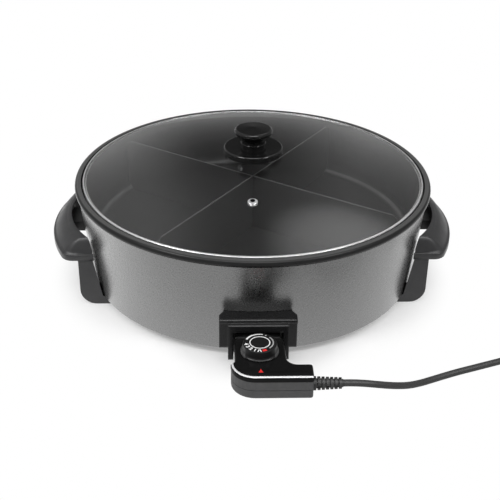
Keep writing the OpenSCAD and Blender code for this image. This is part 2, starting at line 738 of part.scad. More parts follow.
// Section of the band: outside wall, narrow lip on the glass, wider flange under it
module lid_band() color("#cfd1d2") at_pan() rotate_extrude() {
    lip_r = glass_r - band_lip;
    flange_r = glass_r - band_reach;
    polygon([[flange_r, glass_under(flange_r) - hair], [flange_r, glass_under(flange_r) - hair - band_t],
             [band_r - band_t, ledge_z + part_clear], [band_r, ledge_z + part_clear + band_t],
             [band_r, glass_edge_z + band_t / 4], [band_r - band_t / 2, glass_edge_z + band_t],
             [lip_r, glass_top(lip_r) + band_t], [lip_r, glass_top(lip_r) + hair],
             [glass_r + hair, glass_edge_z + hair], [glass_r + hair, glass_under(glass_r) - hair]]);
}

module vent_eyelet() color("#d6d8d9") at_pan() at_vent() difference() {
    union() {
        rotate_extrude() polygon([[0, 0], [vent_d / 2, 0], [vent_d / 2 - vent_lip / 3, 0.7 * vent_t],
                                  [vent_d / 2 - vent_lip, vent_t], [0, vent_t]]);
        translate([0, 0, -glass_t - vent_t]) cylinder(r = vent_d / 2 - vent_lip, h = glass_t + 1.5 * vent_t);
        translate([0, 0, -glass_t - vent_t]) cylinder(d = vent_d, h = 0.9 * vent_t);
    }
    translate([0, 0, -2 * glass_t]) cylinder(d = vent_hole_d, h = 4 * glass_t);
}

module knob_disc() color("#1b1b1c") at_pan() translate([0, 0, dome_top_z]) rotate_extrude()
    polygon(concat([[knob_bore_r, 0], [disc_flat, 0], [disc_d / 2 - disc_edge / 2, -disc_drop],
                    [disc_d / 2, disc_edge / 2 - disc_drop]],
                   arc([disc_d / 2 - disc_edge, disc_t - disc_edge], disc_edge, 0, 80),
                   [[neck_d / 2 - hub_in, disc_t], [neck_d / 2 - hub_in, disc_t + hub_h], [knob_bore_r, disc_t + hub_h]]));

// Half section of the knob: bead, neck, coned flare, rounded rim, shallow crown
module lid_knob() color("#1b1b1c") at_pan() translate([0, 0, knob_z]) rotate_extrude() {
    neck_r = neck_d / 2;
    rim_z0 = knob_h - crown - knob_round;
    polygon(concat([[knob_bore_r, hub_h], [neck_r + neck_bead, hub_h], [neck_r + neck_bead, hub_h + neck_bead],
                    [neck_r, hub_h + 2 * neck_bead], [neck_r, hub_h + neck_h]],
                   arc([knob_d / 2 - knob_round, rim_z0], knob_round, -40, 80),
                   [[0, knob_h], [0, knob_h - knob_cap], [knob_bore_r, knob_h - knob_cap]]));
}

module knob_screw() color("#c9c9c6") at_pan() translate([0, 0, washer_z]) {
    cylinder(r = knob_bore_r - hole_clear, h = knob_z + knob_h - knob_cap - part_clear - washer_z);
    translate([0, 0, -knob_head_h]) cylinder(r = knob_head_r, h = knob_head_h);
}

module knob_washer() color("#9a9a98") at_pan() translate([0, 0, washer_z]) difference() {
    cylinder(r = washer_r, h = washer_t);
    translate([0, 0, -eps]) cylinder(r = knob_bore_r, h = washer_t + 2 * eps);
}

// Plan of the control: stem, rounded nose, arm for the lead, hollow shoulder
corner_r = 3;
ctl_plan = concat(arc([-stem_w / 2 + corner_r, -back_at - corner_r], corner_r, 90, 180, 4),
                  [[-stem_w / 2, nose_r + bulge_x - stem_w / 2 - front_at]],
                  arc([-bulge_x + nose_r, -front_at + nose_r], nose_r, 180, 270),
                  arc([arm_x - corner_r, -front_at + corner_r], corner_r, 270, 360, 4),
                  arc([arm_x - corner_r, -arm_at - corner_r], corner_r, 0, 90, 4),
                  arc([stem_w / 2 + 1 + shoulder_r, -arm_at + shoulder_r], shoulder_r, 270, 180),
                  arc([stem_w / 2 - corner_r, -back_at - corner_r], corner_r, 0, 90, 4));

// A point of the plan that every part of its outline can be seen from
ctl_hub = [stem_w / 4, -relief_y];
boss_r = 3.5;
// Screws of the case, and the bosses' distance from the stem's sides, the arm's back and the arm's end
case_screw_r = 1.5;
case_head_r = 2.7;
case_head_h = 1.8;
case_sink = 3;
boss_meet = 2;
boss_side = 6.5;
boss_back = 10;
boss_arm = [15, 7];
// Step from the cover in to the shells, groove between the shells, thickness of the cover's top
shell_step = 0.4;
seam_gap = 0.5;
cover_t = 2.5;

module at_dial(z) translate([0, -dial_at, z]) children();

module control_cover() color("#151516") at_pan() difference() {
    union() {
        difference() {
            rounded_top(ctl_plan, ctl_hub, cover_low_z, ctl_top_z, cover_round);
            translate([0, 0, cover_low_z - eps]) linear_extrude(ctl_top_z - cover_low_z - cover_t + eps)
                polygon(inset(ctl_plan, shell_t));
        }
        each_boss() translate([0, 0, pin_z - boss_meet + hole_clear]) cylinder(r = boss_r, h = ctl_top_z - pin_z);
    }
    each_boss() translate([0, 0, pin_z - boss_meet]) cylinder(r = case_screw_r + hole_clear, h = ctl_top_z - pin_z - boss_meet);
    at_dial(cover_low_z) cylinder(d = spindle_d + 2 * run_clear, h = ctl_top_z);
}

module nose_block(z0, z1) translate([-nose_half, -back_at - shell_t, z0])
    cube([2 * nose_half, back_at + shell_t - nose_back, z1 - z0]);

module shell_cuts() {
    along_front(nose_back - eps, pin_z) {
        each_pin() cylinder(r = contact_r + hole_clear, h = back_at - nose_back + shell_t + 2 * eps);
        cylinder(d = probe_d + hole_clear, h = back_at - nose_back + shell_t + 2 * eps);
    }
    translate([arm_x - 2 * shell_t, -relief_y, relief_z]) rotate([0, 90, 0]) cylinder(d = relief_d1, h = 3 * shell_t);
}

module control_upper_shell() color("#5c5c5d") at_pan() difference() {
    union() {
        translate([0, 0, pin_z]) linear_extrude(cover_low_z - pin_z) difference() {
            polygon(inset(ctl_plan, shell_step));
            polygon(inset(ctl_plan, shell_t));
        }
        nose_block(pin_z, nose_high);
    }
    shell_cuts();
}

module each_boss() for (p = [[boss_side - stem_w / 2, boss_back - arm_at], [stem_w / 2 - boss_side, boss_back - arm_at],
                                 [arm_x - boss_arm.x, -arm_at - boss_arm.y]])
    translate(p) children();

module control_lower_shell() color("#5c5c5d") at_pan() difference() {
    union() {
        difference() {
            translate([0, 0, ctl_low_z + pin_z - seam_gap]) mirror([0, 0, 1])
                rounded_top(inset(ctl_plan, shell_step), ctl_hub, ctl_low_z, pin_z - seam_gap, case_head_h);
            translate([0, 0, ctl_low_z + shell_t]) linear_extrude(ctl_bottom)
                polygon(inset(ctl_plan, shell_t));
        }
        nose_block(nose_low, pin_z);
        each_boss() translate([0, 0, ctl_low_z + shell_t - hole_clear])
            cylinder(r = boss_r, h = ctl_bottom - shell_t - boss_meet + hole_clear);
    }
    shell_cuts();
    each_boss() {
        translate([0, 0, ctl_low_z - eps]) cylinder(r = case_screw_r + hole_clear, h = ctl_bottom);
        translate([0, 0, ctl_low_z - eps]) cylinder(r = case_head_r + part_clear, h = case_sink + eps);
    }
}

module control_screws() color("#b5b5b2") at_pan() each_boss() {
    translate([0, 0, ctl_low_z + case_sink - case_head_h]) cylinder(r = case_head_r, h = case_head_h);
    translate([0, 0, ctl_low_z + case_sink]) cylinder(r = case_screw_r, h = ctl_bottom + cover_z - case_sink - boss_meet);
}

module probe_rod() color("#c9cbcc") at_pan() {
    along_front(probe_tip_y + probe_d / 2, pin_z) cylinder(d = probe_d, h = back_at + 2 * shell_t - probe_tip_y - probe_d / 2);
    translate([0, -probe_tip_y - probe_d / 2, pin_z]) sphere(d = probe_d);
}

module socket_contacts() color("#c8a24a") at_pan() each_pin()
    along_front(nose_back + part_clear, pin_z) difference() {
        cylinder(r = contact_r, h = contact_len);
        translate([0, 0, -eps]) cylinder(r = pin_d / 2 + part_clear, h = contact_len + 2 * eps);
    }

frame_z = ctl_low_z + shell_t;
// Thermostat: frame, posts on it, leaves on the posts
frame_size = [18, 26, 3];
post_r = 3;
post_h = 3;
post_y = 9.5;
leaf_size = [6, 8, 0.8];
leaf_in = 4.5;
// Collar on the spindle: height above the frame, and width
collar_z = 8;
collar_w = 3;
module thermostat_frame() color("#9a9a98") at_pan() difference() {
    at_dial(frame_z) translate([-frame_size.x / 2, -frame_size.y / 2, 0]) cube(frame_size);
    at_dial(frame_z - eps) cylinder(d = spindle_d + 2 * eps, h = frame_size.z + 2 * eps);
}

module ceramic_posts() color("#efe9df") at_pan() for (s = [-1, 1])
    at_dial(frame_z + frame_size.z) translate([0, s * post_y, 0]) cylinder(r = post_r, h = post_h);

module contact_leaves() color("#b87f45") at_pan() for (s = [-1, 1])
    at_dial(frame_z + frame_size.z + post_h)
        translate([-leaf_size.x / 2, s > 0 ? leaf_in : -leaf_in - leaf_size.y, 0]) cube(leaf_size);

module dial_spindle() color("#b9a25a") at_pan() {
    at_dial(frame_z + eps) cylinder(d = spindle_d, h = dial_top - dial_cap - frame_z - eps);
    at_dial(frame_z + collar_z) cylinder(d = spindle_d + 2 * collar_w, h = collar_w);
}

// Dial: cover over the spindle, edge and slope of the flange, rounding of the top, radius of a grip recess
dial_cap = 3;
dial_edge = 1.4;
dial_cut = 0.8;
dial_foot = 3.4;
dial_round = 1.2;
grip_r = 1.1;
module temperature_dial() color("#1d1d1e") at_pan() at_dial(dial_z) difference() {
    rotate_extrude() polygon(concat([[0, 0], [dial_flange_d / 2, 0], [dial_flange_d / 2, dial_edge],
                                     [dial_flange_d / 2 - dial_cut, dial_edge + dial_cut],
                                     [dial_d / 2 + dial_round / 2, dial_foot]],
                                    arc([dial_d / 2 - dial_round, dial_h - dial_round], dial_round, 0, 90, 4),
                                    [[0, dial_h]]));
    translate([0, 0, -eps]) cylinder(d = spindle_d, h = dial_h - dial_cap + eps);
    for (i = [-3:3], s = [0, 180]) rotate(s + i * 9) translate([dial_d / 2 + grip_r, 0, dial_foot - grip_r / 2])
        cylinder(r = grip_r, h = dial_h - dial_foot - dial_round, $fn = 16);
}

// Wall of the strain relief's core at its thin end
relief_wall = 0.5;
module strain_relief() color("#2c2c2d") at_pan()
    translate([arm_x, -relief_y, relief_z]) rotate([0, 90, 0]) difference() {
        union() {
            translate([0, 0, -2 * shell_t]) cylinder(d = relief_d1 - 2 * hair, h = 2 * shell_t + eps);
            cylinder(d1 = cord_d + 6 * relief_wall, d2 = cord_d + 2 * relief_wall, h = relief_len);
            for (i = [0:relief_ribs - 1]) rib(i, relief_len / relief_ribs);
        }
        translate([0, 0, -3 * shell_t]) cylinder(d = cord_d + 2 * hair, h = relief_len + 6 * shell_t);
    }

// One rib of the strain relief; its two gaps turn by a quarter from rib to rib
module rib(i, pitch) translate([0, 0, i * pitch]) difference() {
    d = relief_d0 - (relief_d0 - relief_d1) * (i + 0.5) / relief_ribs;
    cylinder(d = d, h = pitch * 0.62);
    rotate(90 * (i % 2)) for (s = [-1, 1]) translate([s * d / 2, 0, pitch * 0.3]) cube([d / 3, d / 4, pitch], center = true);
}

// Room under the coil for its tie
tie_room = 1.1;
// Free run of the lead to the coil: way from the end of the strain relief, and share of its height
lead_run = [[-4, 0, 1], [10, 0, 1], [22, 0.5, 0.96], [34, 3, 0.85], [46, 8, 0.68], [58, 15, 0.48], [70, 23, 0.29],
            [83, 32, 0.14], [97, 41, 0.05], [112, 49, 0.01], [128, 56, 0], [144, 62, 0], [160, 68, 0], [176, 74, 0],
            [192, 80, 0], [208, 86, 0], [224, 92, 0], [240, 98, 0], [256, 104, 0], [272, 110, 0], [288, 116, 0]];
lead_low = cord_d / 2 + tie_room;
cord_route = [for (p = lead_run)
    [arm_x + relief_len + p.x, p.y - relief_y, lead_low + (relief_z - lead_low) * p.z]];

// Coil of the rest of the lead: two layers, wound inwards and out again
coil_steps = 24;
coil_last = 101;
coil_turns = coil_last / coil_steps;
coil_pitch = cord_d + 0.9;
coil_layer = cord_d + 0.7;
coil_r0 = 31;
coil_r1 = coil_r0 + coil_pitch * coil_turns / 2;
coil_in = cord_route[len(cord_route) - 1];
coil_low = coil_in.z;
coil_way = coil_in - cord_route[len(cord_route) - 2];
coil_start_a = atan2(coil_way.y, coil_way.x) - 90;
coil_c = [coil_in.x - coil_r1 * cos(coil_start_a), coil_in.y - coil_r1 * sin(coil_start_a)];

function smooth(x) = let (t = max(0, min(1, x))) t * t * (3 - 2 * t);
function coil_point(k) =
    let (turn = k / coil_steps, off = turn - coil_turns / 2, a = coil_start_a + 360 * turn,
         r = coil_r0 + coil_pitch * abs(off))
    [coil_c.x + r * cos(a), coil_c.y + r * sin(a), coil_low + coil_layer * smooth(2 * off + 0.5)];
coil_end_a = coil_start_a + 360 * coil_turns + 90;
coil_end = coil_point(coil_last) + cord_d * [cos(coil_end_a), sin(coil_end_a), 0];
coil_points = concat([for (k = [0:coil_last]) coil_point(k)], [coil_end]);

// Least gap of the coil to itself, measured between points more than half a turn apart
coil_gap = min([for (i = [0:2:len(coil_points) - 1]) for (j = [i + coil_steps / 2:len(coil_points) - 1])
    norm(coil_points[i] - coil_points[j])]) - cord_d;
function path_len(p) = len(p) < 2 ? 0 : [for (i = 0, s = 0; i < len(p); i = i + 1,
    s = s + (i < len(p) ? norm(p[i] - p[i - 1]) : 0)) s][len(p) - 1];

tail_len = 60;
tail_dir = [cos(coil_end_a), sin(coil_end_a), 0];
tail_z = coil_end.z;
function tail_point(t) = coil_end + tail_len * t * tail_dir + [0, 0, (plug_axis_z - tail_z) * smooth(t)];
tail_points = [for (i = [0:6]) tail_point(i / 6)];
plug_at = tail_point(1);

echo(coil_gap = coil_gap);
echo(cord_length = path_len(cord_route) + path_len(coil_points) + path_len(tail_points));

// Round tube swept along a list of points
function side_of(t) = unit(cross(t, [0, 0, 1]));
function along(p, i) = unit(p[min(i + 1, len(p) - 1)] - p[max(i - 1, 0)]);
function ring_at(p, i, r, n) =
    let (t = along(p, i), u = side_of(t), v = cross(u, t))
    [for (k = [0:n - 1]) p[i] + r * (cos(360 * k / n) * u + sin(360 * k / n) * v)];
module tube(p, r, n) skin([for (i = [0:len(p) - 1]) ring_at(p, i, r, n)]);

module mains_cord() color("#2a2a2b") at_pan() tube(cord_route, cord_d / 2, 10);
module cord_coil() color("#2a2a2b") at_pan() tube(coil_points, cord_d / 2, 6);
module plug_tail() color("#2a2a2b") at_pan() tube(tail_points, cord_d / 2, 10);

tie_w = 9;
tie_t = 0.8;
tie_turn = 200;
module coil_tie() color("#171718") at_pan() translate([coil_c.x, coil_c.y, 0]) rotate(tie_turn)
    translate([0, tie_w / 2, 0]) rotate([90, 0, 0]) linear_extrude(tie_w) difference() {
        tie_low = coil_low - cord_d / 2 - tie_t - 0.1;
        tie_high = coil_low + coil_layer + cord_d / 2 + tie_t + 0.1;
        tie_in = coil_r0 - cord_d / 2 - 1;
        tie_out = coil_r1 + cord_d / 2 + 1;
        translate([tie_in - tie_t, tie_low]) square([tie_out - tie_in + 2 * tie_t, tie_high - tie_low]);
        translate([tie_in, tie_low + tie_t]) square([tie_out - tie_in, tie_high - tie_low - 2 * tie_t]);
    }

module at_plug() translate(plug_at) rotate(coil_end_a) rotate([0, 90, 0]) children();

module plug_body() color("#232324") at_pan() at_plug() difference() {
    rotate_extrude() polygon([[0, 0], [plug_neck_r, 0], [1.3 * plug_neck_r, plug_neck_len],
                              [1.8 * plug_neck_r, plug_neck_len + plug_slope / 6],
                              [2.6 * plug_neck_r, plug_neck_len + plug_slope / 2],
                              [plug_d / 2 - plug_grip.x / 2, plug_neck_len + 0.8 * plug_slope],
                              [plug_d / 2, plug_neck_len + plug_slope], [plug_d / 2, plug_face_z - plug_edge],
                              [plug_d / 2 - plug_edge, plug_face_z], [0, plug_face_z]]);
    for (s = [-1, 1]) translate([s * plug_d / 2, 0, plug_len]) cube(plug_grip, center = true);
}

module plug_pins() color("#c9cbcc") at_pan() at_plug() for (s = [-1, 1])
    translate([0, s * plug_pin_gap / 2, plug_face_z]) {
        cylinder(d = plug_pin_d, h = plug_pin_len - plug_pin_d / 2);
        translate([0, 0, plug_pin_len - plug_pin_d / 2]) sphere(d = plug_pin_d);
    }

pan();
outer_jacket();
base_plate();
heat_spreader();
heating_element();
terminal_pins();
terminal_bushes();
probe_block();
socket_guard();
guard_screws();
left_handle();
right_handle();
handle_screws();
foot_screws();
foot_nuts();
divider_long();
divider_cross();
lid_glass();
lid_band();
vent_eyelet();
knob_disc();
lid_knob();
knob_screw();
knob_washer();
control_cover();
control_upper_shell();
control_lower_shell();
control_screws();
probe_rod();
socket_contacts();
thermostat_frame();
contact_leaves();
ceramic_posts();
temperature_dial();
dial_spindle();
strain_relief();
mains_cord();
cord_coil();
coil_tie();
plug_tail();
plug_body();
plug_pins();
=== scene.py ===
"""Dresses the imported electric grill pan: its lead, printed marks, finishes, studio and camera."""
import math

import bmesh
import bpy
from bpy.props import FloatProperty, FloatVectorProperty, PointerProperty
from mathutils import Matrix, Vector


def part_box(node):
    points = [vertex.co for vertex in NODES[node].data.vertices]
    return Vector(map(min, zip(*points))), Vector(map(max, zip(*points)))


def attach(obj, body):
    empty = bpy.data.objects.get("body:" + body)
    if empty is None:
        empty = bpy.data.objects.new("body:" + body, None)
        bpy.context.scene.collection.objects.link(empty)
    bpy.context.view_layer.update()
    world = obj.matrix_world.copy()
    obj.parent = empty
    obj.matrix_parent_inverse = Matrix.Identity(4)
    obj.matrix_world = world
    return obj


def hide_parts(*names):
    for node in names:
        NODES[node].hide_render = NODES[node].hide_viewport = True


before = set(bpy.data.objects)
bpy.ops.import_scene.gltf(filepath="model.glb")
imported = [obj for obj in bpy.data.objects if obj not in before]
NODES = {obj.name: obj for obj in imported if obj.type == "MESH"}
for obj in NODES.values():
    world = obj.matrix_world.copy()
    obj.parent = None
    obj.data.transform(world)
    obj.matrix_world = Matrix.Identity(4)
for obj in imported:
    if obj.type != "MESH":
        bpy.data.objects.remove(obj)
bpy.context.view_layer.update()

bl_info = {
    "name": "Grill Pan Dresser",
    "version": (1, 0, 0),
    "blender": (4, 5, 0),
    "location": "View3D > Sidebar > Grill Pan",
    "description": "Adds the lead, printed marks, finishes and studio to the packed grill pan",
    "category": "Object",
}


def middle(low, high):
    """Centre of a box in plan."""
    return Vector(((low.x + high.x) / 2, (low.y + high.y) / 2, 0))


MM = 0.001

DIAL_LOW, DIAL_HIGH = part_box("temperature_dial")
DIAL_AXIS = middle(DIAL_LOW, DIAL_HIGH)
# Painted reflection of the side lights on the grips at the dial's sides: their distance from its
# axis, and the plain edge above them
DIAL_GRIP_SHEEN_OFFSET = 14.5 * MM
DIAL_EDGE = 1.2 * MM

COVER_LOW, COVER_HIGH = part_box("control_cover")

VENT_AXIS = middle(*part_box("vent_eyelet"))
# The vent's bore, darkened with painted shade: its radius and the share of colour kept there
VENT_BORE = 2.7 * MM
VENT_BORE_PAINTED_SHADE = 0.04

PAN_LOW, PAN_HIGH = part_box("pan")
PAN_CENTRE = middle(PAN_LOW, PAN_HIGH)
DIVIDER_LOW, DIVIDER_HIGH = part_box("divider_long")
# Painted highlights in the pan's corner and on its rim: height, half the width and how much lighter
PAINTED_HIGHLIGHT_LINES = ((DIVIDER_LOW.z + 2.6 * MM, 2.4 * MM, 5.0), (PAN_HIGH.z, 0.9 * MM, 4.0))

RELIEF_LOW, RELIEF_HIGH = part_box("strain_relief")
RELIEF_END = Vector((
    RELIEF_HIGH.x, (RELIEF_LOW.y + RELIEF_HIGH.y) / 2, (RELIEF_LOW.z + RELIEF_HIGH.z) / 2
))

# Free run of the lead from the end of the strain relief: millimetres in plan, share of its height
LEAD_RUN = [
    (-4, 0, 1), (10, 0, 1), (22, 0.5, 0.96), (34, 3, 0.85), (46, 8, 0.68), (58, 15, 0.48),
    (70, 23, 0.29), (83, 32, 0.14), (97, 41, 0.05), (112, 49, 0.01), (128, 56, 0), (144, 62, 0),
    (160, 68, 0), (176, 74, 0), (192, 80, 0), (208, 86, 0), (224, 92, 0), (240, 98, 0),
    (256, 104, 0), (272, 110, 0), (288, 116, 0),
]
LEAD_LIFT = 0.0011
# Coil of the spare lead: steps in a turn, last step, inner radius, gaps between turns and layers
COIL_STEPS = 24
COIL_LAST = 101
COIL_INNER = 0.031
COIL_PITCH_GAP = 0.0009
COIL_LAYER_GAP = 0.0007
# Straight tail from the coil to the plug
TAIL_LENGTH = 0.060
TAIL_STEPS = 6

# Where most values of a noise lie
NOISE_RANGE = (0.3, 0.7)
# Painted shade: share of its colour that a finish keeps, by how much open space it faces
PAINTED_HOLLOW_SHADE = ((0.25, 0.1), (0.6, 1.0))
# Mottled finishes: features of their sheen to each one of their colour, and strength of their grain
SHEEN_SCALE = 0.6
GRAIN_STRENGTH = 0.35
# Rays to find the edges that a finish eases
EDGE_SAMPLES = 8
# Points of a faceted form that are closer than this are one point in its shading
WELD = 0.000002
# Gap between a print and the face under it
PRINT_LIFT = 0.00002

GLASS_TINT = (0.80, 0.80, 0.80)
GLASS_SHADOW = (0.83, 0.83, 0.83)
BRIGHT_STEEL = (0.92, 0.92, 0.92)
SHEATH_BLACK = (0.028, 0.028, 0.028)
KNOB_BLACK = (0.005, 0.005, 0.005)
COVER_BLACK = (0.006, 0.006, 0.006)
DIAL_BLACK = (0.008, 0.008, 0.008)
# Lighter grey of the dial's grips, a painted reflection of the side lights
GRIP_SHEEN_GREY = (0.06, 0.06, 0.06)
# Lighter colour along the dividers' top edge
PALE_TOP_EDGE = (0.085, 0.085, 0.085)


class LeadSettings(bpy.types.PropertyGroup):
    """Sizes of the mains lead"""

    diameter: FloatProperty(
        name="Diameter", description="Diameter of the lead's sheath", default=0.007, unit="LENGTH"
    )


class MarkSettings(bpy.types.PropertyGroup):
    """Printed marks of the dial and the pointer beside it"""

    print_colour: FloatVectorProperty(
        name="Print", description="Colour of the dial's print",
        default=(0.82, 0.82, 0.82), subtype="COLOR",
    )
    zero_colour: FloatVectorProperty(
        name="Zero", description="Colour of the zero mark and the pointer",
        default=(0.72, 0.02, 0.02), subtype="COLOR",
    )
    # A painted highlight on the cover's front edge, laid as a line of silver paint
    highlight_line_colour: FloatVectorProperty(
        name="Line", description="Silver of the line on the cover's edge",
        default=(0.66, 0.66, 0.67), subtype="COLOR",
    )
    pointer_size: FloatProperty(
        name="Pointer", description="Length of the pointer on the cover",
        default=0.0055, unit="LENGTH",
    )


class FinishSettings(bpy.types.PropertyGroup):
    """Main colours of the finishes"""

    paint: FloatVectorProperty(
        name="Jacket paint", description="Grey of the jacket's paint",
        default=(0.31, 0.31, 0.31), subtype="COLOR",
    )
    coating: FloatVectorProperty(
        name="Pan coating", description="Dark coating of the pan",
        default=(0.014, 0.014, 0.014), subtype="COLOR",
    )
    moulding: FloatVectorProperty(
        name="Mouldings", description="Black of handles and guard",
        default=(0.026, 0.026, 0.027), subtype="COLOR",
    )
    shell: FloatVectorProperty(
        name="Control shells", description="Grey of the control's sides",
        default=(0.055, 0.055, 0.056), subtype="COLOR",
    )


class StageSettings(bpy.types.PropertyGroup):
    """Camera of the studio"""

    camera_place: FloatVectorProperty(
        name="Camera", description="Place of the camera",
        default=(-0.0383, -1.0000, 0.6142), subtype="TRANSLATION",
    )
    camera_pitch: FloatProperty(
        name="Pitch", description="How far the camera looks down",
        default=math.radians(29.52), subtype="ANGLE",
    )
    camera_yaw: FloatProperty(
        name="Yaw", description="Turn of the camera about the vertical",
        default=math.radians(-1.98), subtype="ANGLE",
    )
    camera_roll: FloatProperty(
        name="Roll", description="Turn of the camera about its line of sight",
        default=math.radians(0.74), subtype="ANGLE",
    )
    camera_lens: FloatProperty(
        name="Lens", description="Focal length in millimetres on a 36 mm sensor", default=70.77
    )


def new_finish(name):
    """Returns a material, its node tree and its main shader."""
    material = bpy.data.materials.new(name)
    material.use_nodes = True
    tree = material.node_tree
    return material, tree, tree.nodes["Principled BSDF"]


def place_in_object(tree):
    """Coordinates in metres, fixed to the piece."""
    return tree.nodes.new("ShaderNodeTexCoord").outputs["Object"]


def axes(tree, vector):
    """The x, y and z of a vector."""
    node = tree.nodes.new("ShaderNodeSeparateXYZ")
    tree.links.new(vector, node.inputs["Vector"])
    return [node.outputs[axis] for axis in "XYZ"]


def noise(tree, scale, detail=3.0, roughness=0.5, stretch=None):
    """Noise with that many features to the metre, optionally stretched."""
    node = tree.nodes.new("ShaderNodeTexNoise")
    node.inputs["Scale"].default_value = scale
    node.inputs["Detail"].default_value = detail
    node.inputs["Roughness"].default_value = roughness
    source = place_in_object(tree)
    if stretch:
        mapping = tree.nodes.new("ShaderNodeMapping")
        mapping.inputs["Scale"].default_value = stretch
        tree.links.new(source, mapping.inputs["Vector"])
        source = mapping.outputs["Vector"]
    tree.links.new(source, node.inputs["Vector"])
    return node.outputs["Fac"]


def ramp(tree, factor, stops):
    """Colour ramp over (position, grey or colour) stops."""
    node = tree.nodes.new("ShaderNodeValToRGB")
    elements = node.color_ramp.elements
    while len(elements) < len(stops):
        elements.new(0.5)
    for element, (position, colour) in zip(elements, stops):
        element.position = position
        shade = (colour,) * 3 if isinstance(colour, (int, float)) else tuple(colour)
        element.color = (*shade, 1.0)
    tree.links.new(factor, node.inputs["Fac"])
    return node.outputs["Color"]


def vary(tree, shader, name, source, low, high, ends=NOISE_RANGE):
    """Feeds an input of a shader from a source, between two greys or colours."""
    tree.links.new(ramp(tree, source, list(zip(ends, (low, high)))), shader.inputs[name])


def tint(colour, factor):
    """Colour made lighter or darker."""
    return tuple(min(1.0, channel * factor) for channel in colour)


def vary_colour(tree, shader, source, colour, shades, ends=NOISE_RANGE):
    """Colours a shader from a source, between a darker and a lighter shade of one colour."""
    darker, lighter = (tint(colour, shade) for shade in shades)
    vary(tree, shader, "Base Color", source, darker, lighter, ends)


def compute(tree, operation, first, second=0.0):
    """Result of a maths operation on sockets or numbers."""
    node = tree.nodes.new("ShaderNodeMath")
    node.operation = operation
    for socket, value in zip(node.inputs, (first, second)):
        if isinstance(value, (int, float)):
            socket.default_value = value
        else:
            tree.links.new(value, socket)
    return node.outputs["Value"]


def vector_node(tree, operation, vector, other=None):
    """Node with a vector operation on a socket, and on a fixed vector if there is one."""
    node = tree.nodes.new("ShaderNodeVectorMath")
    node.operation = operation
    tree.links.new(vector, node.inputs[0])
    if other is not None:
        node.inputs[1].default_value = other
    return node


def rescale(tree, value, source, target, easing="SMOOTHSTEP"):
    """Takes a value from one range to another."""
    node = tree.nodes.new("ShaderNodeMapRange")
    node.interpolation_type = easing
    for end, before, after in zip(("Min", "Max"), source, target):
        node.inputs["From " + end].default_value = before
        node.inputs["To " + end].default_value = after
    tree.links.new(value, node.inputs["Value"])
    return node.outputs["Result"]


def blend(tree, share, plain, other):
    """Mix of a number and a socket, by a share from 0 to 1."""
    mix = tree.nodes.new("ShaderNodeMix")
    mix.inputs["A"].default_value = plain
    tree.links.new(share, mix.inputs["Factor"])
    tree.links.new(other, mix.inputs["B"])
    return mix.outputs["Result"]


def mix_shaders(tree, share, first, second):
    """Mix of two shaders, by a share from 0 to 1."""
    node = tree.nodes.new("ShaderNodeMixShader")
    for socket, source in zip(node.inputs, (share, first, second)):
        tree.links.new(source, socket)
    return node.outputs["Shader"]


def show(tree, shader):
    """Makes a shader the one that a material shows."""
    tree.links.new(shader, tree.nodes["Material Output"].inputs["Surface"])


def add_bump(tree, shader, height, strength, distance, edge=None):
    """Raises the surface by a height texture, and eases its edges if they have a radius."""
    node = tree.nodes.new("ShaderNodeBump")
    if edge:
        rounded = tree.nodes.new("ShaderNodeBevel")
        rounded.samples = EDGE_SAMPLES
        rounded.inputs["Radius"].default_value = edge
        tree.links.new(rounded.outputs["Normal"], node.inputs["Normal"])
    node.inputs["Strength"].default_value = strength
    node.inputs["Distance"].default_value = distance
    tree.links.new(height, node.inputs["Height"])
    tree.links.new(node.outputs["Normal"], shader.inputs["Normal"])


def scale_colour(tree, gain):
    """Multiplies the colour of a finish."""
    colour = tree.nodes["Principled BSDF"].inputs["Base Color"]
    scaled = vector_node(tree, "SCALE", colour.links[0].from_socket)
    tree.links.new(gain, scaled.inputs["Scale"])
    tree.links.new(scaled.outputs["Vector"], colour)


def paint_hollow_shade(tree, depth):
    """Paints shade into a finish's colour where it faces other surfaces nearer than a depth."""
    open_space = tree.nodes.new("ShaderNodeAmbientOcclusion")
    open_space.inputs["Distance"].default_value = depth
    scale_colour(tree, ramp(tree, open_space.outputs["AO"], PAINTED_HOLLOW_SHADE))


def mottled(name, colour, spread, scale, rough, grain, specular=0.5, shade_depth=None, edge=None):
    """Mottled colour, uneven sheen and a fine grain of (features to the metre, depth)."""
    material, tree, shader = new_finish(name)
    vary_colour(tree, shader, noise(tree, scale, detail=4.0), colour, (1 - spread, 1 + spread))
    # Painted shade in hollows, where a depth is given
    if shade_depth:
        paint_hollow_shade(tree, shade_depth)
    vary(tree, shader, "Roughness", noise(tree, scale * SHEEN_SCALE), *rough)
    shader.inputs["Specular IOR Level"].default_value = specular
    grain_scale, grain_depth = grain
    add_bump(tree, shader, noise(tree, grain_scale, detail=2.0), GRAIN_STRENGTH, grain_depth, edge)
    return material


def pan_coat(colour):
    """Dark non-stick coat with faint painted highlights: lighter lines in the corner of the floor
    and on the rim.
    """
    material = mottled(
        "nonstick_coat", colour, spread=0.06, scale=900, rough=(0.29, 0.31),
        grain=(2400, 0.000004), specular=0.16,
    )
    tree = material.node_tree
    _, _, high = axes(tree, place_in_object(tree))
    gain = 1.0
    for height, width, highlight_gain in PAINTED_HIGHLIGHT_LINES:
        away = compute(tree, "ABSOLUTE", compute(tree, "SUBTRACT", high, height))
        gain = compute(tree, "ADD", rescale(tree, away, (0.0, width), (highlight_gain, 0.0)), gain)
    scale_colour(tree, gain)
    return material


def edged_coat(colour, edge_colour, top, depth):
    """Dark coating made lighter along a plate's top edge."""
    material, tree, shader = new_finish("divider_coat")
    _, _, high = axes(tree, place_in_object(tree))
    near_top = rescale(tree, high, (top - depth, top), (0.0, 1.0), "LINEAR")
    vary(tree, shader, "Base Color", near_top, colour, edge_colour, ends=(0.45, 0.8))
    vary(tree, shader, "Roughness", noise(tree, 300), 0.28, 0.36)
    add_bump(tree, shader, noise(tree, 2400, detail=2.0), strength=0.3, distance=0.00001)
    return material


